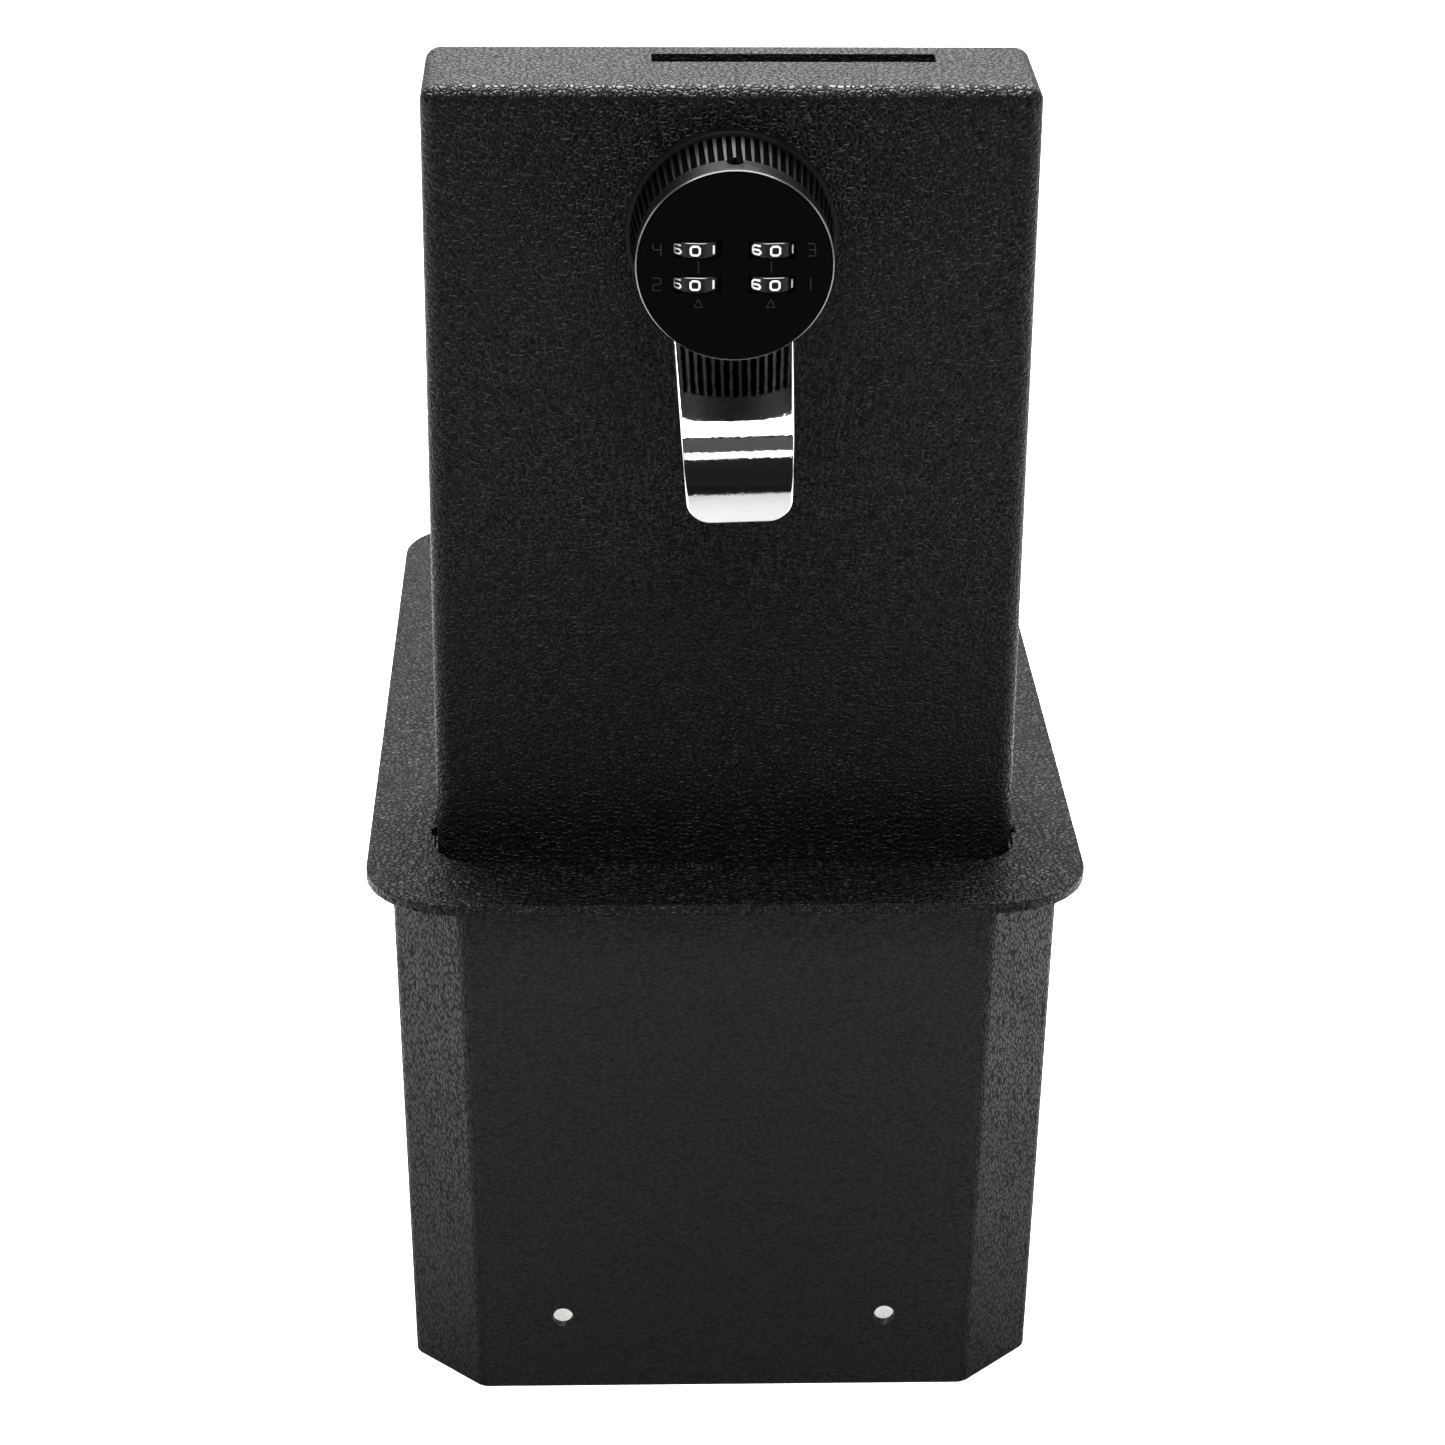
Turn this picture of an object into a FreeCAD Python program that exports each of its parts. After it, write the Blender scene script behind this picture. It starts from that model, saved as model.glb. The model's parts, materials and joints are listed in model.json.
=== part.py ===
import FreeCAD, Part
import math
import os

os.makedirs("parts", exist_ok=True)
V = FreeCAD.Vector

# Lock box of folded sheet steel, in millimetres. X is across the box, the hinge end is at -Y, +Z is up.
# The origin is on the underside, below the middle of the top frame. The lid is drawn shut, level with
# the frame, and is then swung open about its pivot pins, which is how the box stands at rest.

# Sheet steel
SHEET = 2.7
BEND_R = 3.6
EDGE_BREAK = 0.6

# Tub and top frame
BOX_HEIGHT = 130.2
FRAME_WIDTH = 165.0
FRAME_LENGTH = 246.0
FRAME_CORNER_R = 22.0
SIDE_OVERHANG = 5.8
END_OVERHANG = 5.3
TUB_TAPER = 3.0
TUB_CHAMFER = 16.3
FIXING_SPACING = 76.2
FIXING_HOLE_D = 4.8
FIXING_HEIGHT = 19.0
LINER_THICKNESS = 3.0
LINER_GAP = 0.4

# Opening in the frame
FRONT_LIP = 22.5
SIDE_LIP = 15.3
REAR_LIP = 15.4
OPENING_CORNER_R = 11.0
FRONT_STEP = 0.2
NOTCH_LENGTH = 4.0
NOTCH_DEPTH = 0.9

# Lid and hinge
LID_DEPTH = 32.9
LID_GAP = 0.6
SWING_GAP = 0.6
PIVOT_INSET = 17.5
PIVOT_DROP = 8.0
OPEN_ANGLE = 92.0
PIN_D = 5.0
PIN_HEAD_D = 10.0
PIN_HEAD_T = 2.0
PIN_TAIL_D = 7.6
PIN_TAIL_T = 1.4
BUSH_D = 8.0
BUSH_FLANGE_T = 0.7
RUNNING_GAP = 0.05
END_GAP = 0.3
BRACKET_HALF = 8.0
STUD_D = 5.0
STUD_SETBACK = 13.0
STUD_LENGTH = 4.2
STOP_GAP = 0.3

# Rests that carry the shut lid
REST_SETBACK = 40.0
REST_LENGTH = 20.0
REST_LEG = 14.0
REST_REACH = 1.5
BUMPER_D = 8.0
BUMPER_HEIGHT = 3.0
BUMPER_GAP = 0.3

# Lock on the lid
KNOB_SETBACK = 31.6
BASE_D = 46.0
BASE_HEIGHT = 2.6
BOSS_D = 35.0
BOSS_HEIGHT = 2.0
BARREL_D = 22.0
BARREL_LENGTH = 19.8
PLATE_WIDTH = 60.0
PLATE_LENGTH = 52.0
PLATE_T = 3.0
WASHER_D = 31.0
WASHER_T = 1.2
NUT_FLATS = 28.0
NUT_HEIGHT = 5.5

# Knob
KNOB_HEIGHT = 23.5
KNOB_FACE_D = 42.0
KNOB_FOOT_D = 44.0
KNOB_LIFT = 0.3
RIB_COUNT = 68
RIB_DEPTH = 1.1
RIB_LAND_FOOT = 0.5
RIB_LAND_TOP = 0.28
BAND_HEIGHT = 4.2
FACE_RIM = 0.6
FACE_T = 2.0
KNOB_BACK_T = 3.1
KNOB_BACK_WALL = 2.7
PINHOLE_D = 3.6
PINHOLE_DEPTH = 4.0
PINHOLE_BELOW_FACE = 4.9
SCREW_D = 2.0
SCREW_HEAD_D = 3.6
SCREW_HEAD_T = 1.5
SCREW_LENGTH = 7.0
SCREW_SIDE = 11.0
SCREW_RADIUS = 15.8

# Number wheels
WHEEL_D = 13.4
WHEEL_PROUD = 0.75
WHEEL_SIDE = 7.85
WHEEL_PITCH = 7.6
WHEEL_GROUP_DROP = 0.2
WHEEL_FLATS = 10
WHEEL_FLAT_CUT = 0.18
DIAL_T = 3.3
HUB_T = 3.4
GATE_WIDTH = 1.6
GATE_DEPTH = 1.2
WHEEL_GAP = 0.4
WINDOW_WIDTH = 10.0
WINDOW_HEIGHT = 3.8
AXLE_D = 2.5
AXLE_SEAT = 3.6
LEAF_T = 0.4
LEAF_WIDTH = 2.4
LEAF_LENGTH = 10.0
LEAF_FOOT = 1.8

# Locking bolt of the code wheels
BOLT_D = 4.0
BOLT_LENGTH = 5.5
BOLT_RADIUS = 12.5
BOLT_TRAVEL = 2.0
BOLT_LIFT = 0.1
SOCKET_GAP = 0.4

# Spindle, cam and keeper
SPINDLE_D = 9.0
SPINDLE_HEAD_D = 12.0
SPINDLE_HEAD_T = 1.6
SPINDLE_SQUARE = 6.2
SQUARE_RECESS = 0.3
SPACER_D = 16.0
CAM_T = 3.0
CAM_HUB_D = 22.0
CAM_WIDTH = 18.0
CAM_REACH = 7.0
CAM_TIP_R = 5.0
CAM_WASHER_D = 12.0
CAM_WASHER_T = 1.4
CAM_SCREW_D = 4.0
CAM_SCREW_HEAD_D = 8.0
CAM_SCREW_HEAD_T = 2.6
CAM_SCREW_LENGTH = 12.0
SLOT_RIM = 5.6
SLOT_HEIGHT = 6.5
SLOT_LEFT = 17.0
SLOT_RIGHT = 45.0
KEEPER_WIDTH = 44.0
KEEPER_SETBACK = 0.6
KEEPER_GAP = 0.6

# Pull tab under the lock
TAB_T = 1.2
TAB_FOOT_WIDTH = 26.5
TAB_TIP_WIDTH = 22.6
TAB_BACK = 15.0
TAB_SKEW = 1.8
TAB_RAMP_ANGLE = 43.0
TAB_RAMP = 18.2
TAB_BEND_R = 2.4
TAB_CROWN_R = 26.0
TAB_TIP_ANGLE = 4.0
TAB_TIP = 1.8
TAB_CORNER_R = 5.0

# Places that follow from the sizes above
FRAME_TOP = BOX_HEIGHT
FRAME_UNDER = FRAME_TOP - SHEET
TUB_TOP_WIDTH = FRAME_WIDTH - 2 * SIDE_OVERHANG
TUB_LENGTH = FRAME_LENGTH - 2 * END_OVERHANG
INNER_CHAMFER = TUB_CHAMFER - SHEET * (2 - math.sqrt(2))
TUB_INNER_END = TUB_LENGTH / 2 - SHEET
OPENING_FRONT = -FRAME_LENGTH / 2 + FRONT_LIP
OPENING_REAR = FRAME_LENGTH / 2 - REAR_LIP
OPENING_HALF = FRAME_WIDTH / 2 - SIDE_LIP
PIVOT_Y = OPENING_FRONT + PIVOT_INSET
PIVOT_Z = FRAME_TOP - PIVOT_DROP
BUSH_FLANGE_D = 2 * (PIVOT_DROP - SHEET - END_GAP)
LID_HALF = OPENING_HALF - LID_GAP
LID_FRONT = OPENING_FRONT + LID_GAP
BRACKET_FACE = LID_HALF + BUSH_FLANGE_T + END_GAP
SWING_R = OPENING_REAR - PIVOT_Y - SWING_GAP
LID_REAR = PIVOT_Y + math.sqrt(SWING_R ** 2 - (LID_DEPTH - PIVOT_DROP) ** 2)
LID_RIM = FRAME_TOP - LID_DEPTH
LID_TAIL_R = OPENING_CORNER_R - LID_GAP
KNOB_Y = LID_REAR - KNOB_SETBACK
CAM_MID = LID_DEPTH - SLOT_RIM - SLOT_HEIGHT / 2
CAM_TOP = -CAM_MID + CAM_T / 2
CAM_UNDER = -CAM_MID - CAM_T / 2
CAM_TIP = KNOB_SETBACK + CAM_REACH
KNOB_FOOT = BASE_HEIGHT + KNOB_LIFT
BOSS_TOP = BASE_HEIGHT + BOSS_HEIGHT
BACK_UNDER = BOSS_TOP + KNOB_LIFT
BACK_TOP = BACK_UNDER + KNOB_BACK_T
BACK_R = KNOB_FACE_D / 2 - KNOB_BACK_WALL
FACE_R = KNOB_FACE_D / 2 - FACE_RIM
FACE_UNDER = KNOB_HEIGHT - FACE_T
RIB_TOP = KNOB_HEIGHT - BAND_HEIGHT
AXLE_HEIGHT = KNOB_HEIGHT + WHEEL_PROUD - WHEEL_D / 2
HUB_D = 2 * (FACE_UNDER - AXLE_HEIGHT - WHEEL_GAP)
WHEEL_ROWS = (WHEEL_PITCH / 2 - WHEEL_GROUP_DROP, -WHEEL_PITCH / 2 - WHEEL_GROUP_DROP)
CAVITY_TOP = WHEEL_ROWS[0] + DIAL_T / 2 + WHEEL_GAP
CAVITY_BOTTOM = WHEEL_ROWS[1] - DIAL_T / 2 - HUB_T - WHEEL_GAP
SPINDLE_END = CAM_UNDER + SQUARE_RECESS
TOUCH = 1e-4


def box(low, high):
    """Box between two corners."""
    return Part.makeBox(high[0] - low[0], high[1] - low[1], high[2] - low[2], V(*low))


def disc(diameter, low, high, x=0.0, y=0.0):
    """Upright cylinder between two heights."""
    return Part.makeCylinder(diameter / 2, high - low, V(x, y, low))


def cross_rod(diameter, x_low, x_high, y, z):
    """Cylinder along X."""
    return Part.makeCylinder(diameter / 2, x_high - x_low, V(x_low, y, z), V(1, 0, 0))


def long_rod(diameter, y_low, y_high, x, z):
    """Cylinder along Y."""
    return Part.makeCylinder(diameter / 2, y_high - y_low, V(x, y_low, z), V(0, 1, 0))


def upright_edges(shape, y_low=-math.inf, y_high=math.inf):
    """Edges that rise along Z, or lean a little, with their middle between two places along Y."""
    rising = [e for e in shape.Edges if abs(e.tangentAt(e.FirstParameter).z) > 0.9]
    return [e for e in rising if y_low < e.CenterOfMass.y < y_high]


def level_edges(shape, z):
    """Edges that lie at one height."""
    spans = [(edge, edge.BoundBox) for edge in shape.Edges]
    return [edge for edge, span in spans if abs(span.ZMin - z) < TOUCH and abs(span.ZMax - z) < TOUCH]


def flat_face(points):
    """Flat face with straight edges between the points."""
    return Part.Face(Part.makePolygon(points + points[:1]))


def flat_block(low, high):
    """Flat-sided block between two outlines that have as many corners."""
    faces = [flat_face(low), flat_face(high)]
    for i in range(len(low)):
        faces.append(flat_face([low[i - 1], low[i], high[i]]))
        faces.append(flat_face([low[i - 1], high[i], high[i - 1]]))
    return Part.makeSolid(Part.makeShell(faces)).removeSplitter()


def octagon(width, length, chamfer, z):
    """Corners of a rectangle with its own corners cut off."""
    x = width / 2
    y = length / 2
    right = [V(x - chamfer, -y, z), V(x, chamfer - y, z), V(x, y - chamfer, z), V(x - chamfer, y, z)]
    left = [V(-point.x, point.y, z) for point in reversed(right)]
    return right + left


def tub_width(z):
    """Outside width of the tub at a height: the sides draw in towards the floor."""
    return TUB_TOP_WIDTH - 2 * TUB_TAPER * (FRAME_UNDER - z) / FRAME_UNDER


def tub_form(inset, chamfer, bend):
    """Tapered eight-sided block that is the tub's outside, or its inside when inset."""
    length = TUB_LENGTH - 2 * inset
    low, high = [octagon(tub_width(z) - 2 * inset, length, chamfer, z) for z in (0, FRAME_UNDER)]
    block = flat_block(low, high)
    return block.makeFillet(bend, upright_edges(block))


def tub_inside():
    return tub_form(SHEET, INNER_CHAMFER, BEND_R - SHEET)


def tub_shell():
    shell = tub_form(0, TUB_CHAMFER, BEND_R).cut(tub_inside())
    for side in (-1, 1):
        hole = long_rod(FIXING_HOLE_D, -TUB_LENGTH, 0, side * FIXING_SPACING / 2, FIXING_HEIGHT)
        shell = shell.cut(hole)
    return shell


def tub_floor():
    slab = box((-FRAME_WIDTH, -FRAME_LENGTH, 0), (FRAME_WIDTH, FRAME_LENGTH, SHEET))
    return tub_inside().common(slab)


def floor_liner():
    width = tub_width(SHEET) - 2 * (SHEET + LINER_GAP)
    length = TUB_LENGTH - 2 * (SHEET + LINER_GAP)
    return flat_face(octagon(width, length, INNER_CHAMFER, SHEET)).extrude(V(0, 0, LINER_THICKNESS))


def frame_opening():
    """Block that cuts the opening: a stepped front end with round corners, and a notch at each pivot."""
    low = FRAME_UNDER - SHEET
    high = FRAME_TOP + SHEET
    front_half = OPENING_HALF - FRONT_STEP
    front = box((-front_half, OPENING_FRONT, low), (front_half, PIVOT_Y, high))
    front = front.makeFillet(OPENING_CORNER_R, upright_edges(front, y_high=PIVOT_Y - PIVOT_INSET / 2))
    rear = box((-OPENING_HALF, PIVOT_Y, low), (OPENING_HALF, OPENING_REAR, high))
    rear = rear.makeFillet(BEND_R + LID_GAP, upright_edges(rear, y_low=OPENING_REAR - BEND_R))
    reach = OPENING_HALF + NOTCH_DEPTH
    notch = box((-reach, PIVOT_Y - NOTCH_LENGTH / 2, low), (reach, PIVOT_Y + NOTCH_LENGTH / 2, high))
    return front.fuse([rear, notch])


def top_frame():
    half_w = FRAME_WIDTH / 2
    half_l = FRAME_LENGTH / 2
    plate = box((-half_w, -half_l, FRAME_UNDER), (half_w, half_l, FRAME_TOP))
    plate = plate.makeFillet(FRAME_CORNER_R, upright_edges(plate))
    plate = plate.makeChamfer(EDGE_BREAK, level_edges(plate, FRAME_TOP) + level_edges(plate, FRAME_UNDER))
    return plate.cut(frame_opening())


def hinge_bracket(side):
    """Angle under the side lip whose hanging leg, round at its foot, holds the pivot pin."""
    inner = BRACKET_FACE
    outer = TUB_TOP_WIDTH / 2 - SHEET - END_GAP
    front = PIVOT_Y - BRACKET_HALF
    rear = PIVOT_Y + BRACKET_HALF
    leg = box((inner, front, PIVOT_Z), (inner + SHEET, rear, FRAME_UNDER))
    foot = cross_rod(2 * BRACKET_HALF, inner, inner + SHEET, PIVOT_Y, PIVOT_Z)
    foot = foot.common(box((inner, front, PIVOT_Z - BRACKET_HALF), (inner + SHEET, rear, PIVOT_Z)))
    shelf = box((inner, front, FRAME_UNDER - SHEET), (outer, rear, FRAME_UNDER))
    tail_room = cross_rod(PIN_TAIL_D + 2 * END_GAP, inner + SHEET, outer, PIVOT_Y, PIVOT_Z)
    pin_hole = cross_rod(PIN_D, inner, outer, PIVOT_Y, PIVOT_Z)
    bracket = leg.fuse([foot, shelf]).removeSplitter().cut([tail_room, pin_hole])
    return mirrored(bracket, side)


def mirrored(shape, side):
    """The shape itself for the right side, its mirror image for the left."""
    if side > 0:
        return shape
    return shape.mirror(V(0, 0, 0), V(1, 0, 0))


def pivot_pin(side):
    """Headed pin, put in from inside the lid and upset behind the bracket."""
    wall_inside = LID_HALF - SHEET
    head_face = wall_inside - END_GAP
    bracket_back = BRACKET_FACE + SHEET
    head = cross_rod(PIN_HEAD_D, head_face - PIN_HEAD_T, head_face, PIVOT_Y, PIVOT_Z)
    shank = cross_rod(PIN_D, head_face, bracket_back, PIVOT_Y, PIVOT_Z)
    tail = cross_rod(PIN_TAIL_D, bracket_back, bracket_back + PIN_TAIL_T, PIVOT_Y, PIVOT_Z)
    return mirrored(head.fuse([shank, tail]).removeSplitter(), side)


def latch_keeper():
    """Angle on the rear wall: the cam turns in under its level leg."""
    half = KEEPER_WIDTH / 2
    under = FRAME_TOP + CAM_TOP + KEEPER_GAP
    front = OPENING_REAR + KEEPER_SETBACK
    ledge = box((-half, front, under), (half, TUB_INNER_END, under + SHEET))
    leg = box((-half, TUB_INNER_END - SHEET, under), (half, TUB_INNER_END, FRAME_UNDER))
    return ledge.fuse(leg).removeSplitter()


def rest_middle():
    return OPENING_REAR - REST_SETBACK


def rest_top():
    return LID_RIM - BUMPER_GAP - BUMPER_HEIGHT


def lid_rest(side):
    """Angle on a side wall, under the rim of the shut lid."""
    front = rest_middle() - REST_LENGTH / 2
    rear = front + REST_LENGTH
    inner = LID_HALF - BUMPER_D - REST_REACH
    top = rest_top()
    wall = tub_width(top - REST_LEG) / 2 - SHEET
    shelf = box((inner, front, top - SHEET), (FRAME_WIDTH, rear, top))
    leg = box((wall - SHEET, front, top - REST_LEG), (FRAME_WIDTH, rear, top))
    return mirrored(shelf.fuse(leg).removeSplitter().common(tub_inside()), side)


def rest_bumpers():
    x = LID_HALF - SHEET / 2
    top = rest_top()
    return [disc(BUMPER_D, top, top + BUMPER_HEIGHT, side * x, rest_middle()) for side in (-1, 1)]


def lid_form(inset, tail_r, bend, low):
    """Tray-shaped block of the shut lid: round corners at the hinge end and folded edges."""
    half = LID_HALF - inset
    block = box((-half, LID_FRONT + inset, low), (half, LID_REAR - inset, FRAME_TOP - inset))
    block = block.makeFillet(tail_r, upright_edges(block, y_high=PIVOT_Y))
    folds = level_edges(block, FRAME_TOP - inset) + upright_edges(block, y_low=KNOB_Y)
    return block.makeFillet(bend, folds)


def stud_place():
    """Where a stop stud sits on the shut lid, to come up under the side lip as the lid opens."""
    rise = PIVOT_DROP - SHEET - STOP_GAP - STUD_D / 2
    turn = math.radians(OPEN_ANGLE)
    y = STUD_SETBACK * math.cos(turn) + rise * math.sin(turn)
    z = -STUD_SETBACK * math.sin(turn) + rise * math.cos(turn)
    return PIVOT_Y + y, PIVOT_Z + z


def lid_pan():
    pan = lid_form(0, LID_TAIL_R, BEND_R, LID_RIM)
    pan = pan.cut(lid_form(SHEET, LID_TAIL_R - SHEET, BEND_R - SHEET, LID_RIM - SHEET))
    slot_low = LID_RIM + SLOT_RIM
    slot_high = slot_low + SLOT_HEIGHT
    slot = box((-SLOT_LEFT, LID_REAR - 2 * SHEET, slot_low), (SLOT_RIGHT, LID_REAR + SHEET, slot_high))
    lock_hole = disc(BARREL_D, FRAME_TOP - 2 * SHEET, FRAME_TOP + SHEET, 0, KNOB_Y)
    pivot_holes = cross_rod(BUSH_D, -FRAME_WIDTH, FRAME_WIDTH, PIVOT_Y, PIVOT_Z)
    return open_lid(pan.cut([slot, lock_hole, pivot_holes]))


def open_lid(shape):
    """Swings a piece of the shut lid to where it stands open."""
    return shape.rotated(V(0, PIVOT_Y, PIVOT_Z), V(1, 0, 0), OPEN_ANGLE)


def on_lock(shape):
    """Moves a piece drawn about the knob's axis, with the lid's face at zero, to the open lid."""
    return open_lid(shape.translated(V(0, KNOB_Y, FRAME_TOP)))


def pivot_bush(side):
    inner = LID_HALF - SHEET
    outer = LID_HALF + BUSH_FLANGE_T
    sleeve = cross_rod(BUSH_D, inner, LID_HALF, PIVOT_Y, PIVOT_Z)
    flange = cross_rod(BUSH_FLANGE_D, LID_HALF, outer, PIVOT_Y, PIVOT_Z)
    bore = cross_rod(PIN_D + 2 * RUNNING_GAP, inner, outer, PIVOT_Y, PIVOT_Z)
    return open_lid(mirrored(sleeve.fuse(flange).cut(bore), side))


def stop_stud(side):
    y, z = stud_place()
    stud = cross_rod(STUD_D, LID_HALF, LID_HALF + STUD_LENGTH, y, z)
    return open_lid(mirrored(stud, side))


def lock_backing_plate():
    half_w = PLATE_WIDTH / 2
    half_l = PLATE_LENGTH / 2
    plate = box((-half_w, -half_l, -SHEET - PLATE_T), (half_w, half_l, -SHEET))
    plate = plate.makeFillet(BEND_R, upright_edges(plate))
    return on_lock(plate.cut(disc(BARREL_D, -SHEET - PLATE_T, -SHEET)))


def tab_profile():
    """Side outline of the pull tab: flat foot, ramp, wide round crown and a short tip."""
    ramp = math.radians(TAB_RAMP_ANGLE)
    tip = math.radians(TAB_TIP_ANGLE)

    def heading(angle):
        return V(0, -math.cos(angle), math.sin(angle))

    def inward(angle):
        return V(0, -math.sin(angle), -math.cos(angle))

    def arc(centre, radius, angles, sign):
        first, last = angles
        stops = (first, (first + last) / 2, last)
        return Part.Arc(*[centre - inward(stop) * radius * sign for stop in stops]).toShape()

    def line(first, last, angle, offset):
        shift = inward(angle) * offset
        return Part.LineSegment(first + shift, last + shift).toShape()

    def run(offset):
        """Edges of one skin of the strip, offset from its outer skin."""
        heel = V(0, TAB_BACK, TAB_T)
        bend_start = V(0, -BASE_D / 2, TAB_T)
        bend_centre = bend_start - inward(0) * TAB_BEND_R
        ramp_start = bend_centre + inward(ramp) * TAB_BEND_R
        ramp_end = ramp_start + heading(ramp) * TAB_RAMP
        crown_centre = ramp_end + inward(ramp) * TAB_CROWN_R
        tip_start = crown_centre - inward(-tip) * TAB_CROWN_R
        tip_end = tip_start + heading(-tip) * TAB_TIP
        return [
            line(heel, bend_start, 0, offset),
            arc(bend_centre, TAB_BEND_R + offset, (0, ramp), -1),
            line(ramp_start, ramp_end, ramp, offset),
            arc(crown_centre, TAB_CROWN_R - offset, (ramp, -tip), 1),
            line(tip_start, tip_end, -tip, offset),
        ]

    outer = run(0)
    inner = run(TAB_T)
    heel = Part.LineSegment(inner[0].Vertexes[0].Point, outer[0].Vertexes[0].Point).toShape()
    end = Part.LineSegment(outer[-1].Vertexes[1].Point, inner[-1].Vertexes[1].Point).toShape()
    return Part.Face(Part.Wire(Part.__sortEdges__(outer + inner + [heel, end])))


def pull_tab():
    """Bent strip cut to a tapering outline with round corners at its tip."""
    profile = tab_profile()
    strip = profile.extrude(V(TAB_FOOT_WIDTH, 0, 0)).translated(V(-TAB_FOOT_WIDTH / 2, 0, 0))
    front = strip.BoundBox.YMin
    foot = TAB_FOOT_WIDTH / 2
    right = [V(foot, TAB_BACK, -TAB_T), V(foot, -BASE_D / 2, -TAB_T), V(TAB_TIP_WIDTH / 2, front, -TAB_T)]
    left = [V(-point.x, point.y, point.z) for point in reversed(right)]
    outline = flat_face(right + left).extrude(V(0, 0, KNOB_HEIGHT + TAB_T))
    outline = outline.makeFillet(TAB_CORNER_R, upright_edges(outline, y_high=front + TAB_CORNER_R))
    tab = strip.common(outline).cut(disc(BARREL_D, -TAB_T, 2 * TAB_T))
    return on_lock(tab.rotated(V(0, 0, 0), V(0, 0, 1), TAB_SKEW))


def tab_room():
    """Room for the tab's foot in the underside of the lock's base."""
    half = TAB_FOOT_WIDTH / 2
    room = box((-half, -BASE_D, -TAB_T), (half, TAB_BACK, TAB_T))
    return room.rotated(V(0, 0, 0), V(0, 0, 1), TAB_SKEW)


def bolt_sockets():
    """Holes that the locking bolt drops into, with the cam drawn in and with it turned out."""
    depth = BACK_UNDER + BOLT_LIFT - BOLT_TRAVEL - KNOB_LIFT
    size = BOLT_D + 2 * SOCKET_GAP
    places = ((0, BOLT_RADIUS), (-BOLT_RADIUS, 0))
    return [disc(size, depth, BOSS_TOP + KNOB_LIFT, *place) for place in places]


def lock_base():
    flange = disc(BASE_D, 0, BASE_HEIGHT)
    flange = flange.makeChamfer(EDGE_BREAK, level_edges(flange, BASE_HEIGHT))
    boss = disc(BOSS_D, 0, BOSS_TOP)
    barrel = disc(BARREL_D, -BARREL_LENGTH, BASE_HEIGHT)
    bore = disc(SPINDLE_D + 2 * RUNNING_GAP, -BARREL_LENGTH, BOSS_TOP)
    base = flange.fuse(boss).cut(tab_room()).fuse(barrel)
    return on_lock(base.cut([bore] + bolt_sockets()))


def lock_washer():
    high = -SHEET - PLATE_T
    low = high - WASHER_T
    return on_lock(disc(WASHER_D, low, high).cut(disc(BARREL_D, low, high)))


def lock_nut():
    high = -SHEET - PLATE_T - WASHER_T
    low = high - NUT_HEIGHT
    corner_r = NUT_FLATS / math.sqrt(3)
    turns = [i * math.pi / 3 for i in range(6)]
    points = [V(corner_r * math.cos(turn), corner_r * math.sin(turn), low) for turn in turns]
    nut = flat_face(points).extrude(V(0, 0, NUT_HEIGHT))
    return on_lock(nut.cut(disc(BARREL_D, low, high)))


def rib_outline(radius, land, z):
    """Corners of the ribbed knob at one height, with lands and grooves in turn."""
    pitch = 2 * math.pi / RIB_COUNT
    edge = land * pitch / 2
    root = edge + (1 - land) * pitch / 4
    inner = radius - RIB_DEPTH
    points = []
    for i in range(RIB_COUNT):
        for r, angle in ((radius, -edge), (radius, edge), (inner, root), (inner, pitch - root)):
            turn = i * pitch + angle
            points.append(V(r * math.sin(turn), r * math.cos(turn), z))
    return points


def wheel_cavity():
    """Room for the wheels, open at the back and behind the face: one well for each axle."""
    half = WHEEL_D / 2 + WHEEL_GAP
    wells = []
    for side in (-1, 1):
        x = side * WHEEL_SIDE
        wells.append(box((x - half, CAVITY_BOTTOM, BACK_TOP), (x + half, CAVITY_TOP, FACE_UNDER)))
    return wells


def axle_span():
    return CAVITY_BOTTOM - AXLE_SEAT, CAVITY_TOP + AXLE_SEAT


def knob_shell():
    """Ribbed cup with a plain band round its face end."""
    foot = rib_outline(KNOB_FOOT_D / 2, RIB_LAND_FOOT, KNOB_FOOT)
    top = rib_outline(KNOB_FACE_D / 2, RIB_LAND_TOP, RIB_TOP)
    ribs = flat_block(foot, top)
    band = disc(KNOB_FACE_D, RIB_TOP, KNOB_HEIGHT)
    band = band.makeChamfer(FACE_RIM / 2, level_edges(band, KNOB_HEIGHT))
    cuts = [disc(2 * FACE_R, FACE_UNDER, KNOB_HEIGHT), disc(2 * BACK_R, KNOB_FOOT, BACK_TOP)]
    cuts += wheel_cavity()
    low, high = axle_span()
    cuts += [long_rod(AXLE_D, low, high, side * WHEEL_SIDE, AXLE_HEIGHT) for side in (-1, 1)]
    cuts += [disc(SCREW_D, BACK_TOP, BACK_UNDER + SCREW_LENGTH, *place) for place in screw_places()]
    bolt_room = BACK_UNDER + BOLT_LENGTH + KNOB_LIFT
    cuts.append(disc(BOLT_D + 2 * RUNNING_GAP, BACK_TOP, bolt_room, 0, BOLT_RADIUS))
    rim = KNOB_FACE_D / 2
    pinhole_height = KNOB_HEIGHT - PINHOLE_BELOW_FACE
    cuts.append(long_rod(PINHOLE_D, rim - PINHOLE_DEPTH, rim + PINHOLE_D, 0, pinhole_height))
    return on_lock(ribs.fuse(band).cut(cuts))


def knob_face():
    """Flat disc with a window for each wheel, hollowed behind to clear the dials."""
    face = disc(2 * FACE_R, FACE_UNDER, KNOB_HEIGHT)
    half_w = WINDOW_WIDTH / 2
    half_h = WINDOW_HEIGHT / 2
    cuts = []
    for side in (-1, 1):
        x = side * WHEEL_SIDE
        for row in WHEEL_ROWS:
            low = row - half_h
            high = row + half_h
            cuts.append(box((x - half_w, low, FACE_UNDER), (x + half_w, high, KNOB_HEIGHT)))
            cuts.append(long_rod(WHEEL_D + 2 * WHEEL_GAP, low, high, x, AXLE_HEIGHT))
    return on_lock(face.cut(cuts))


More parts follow.
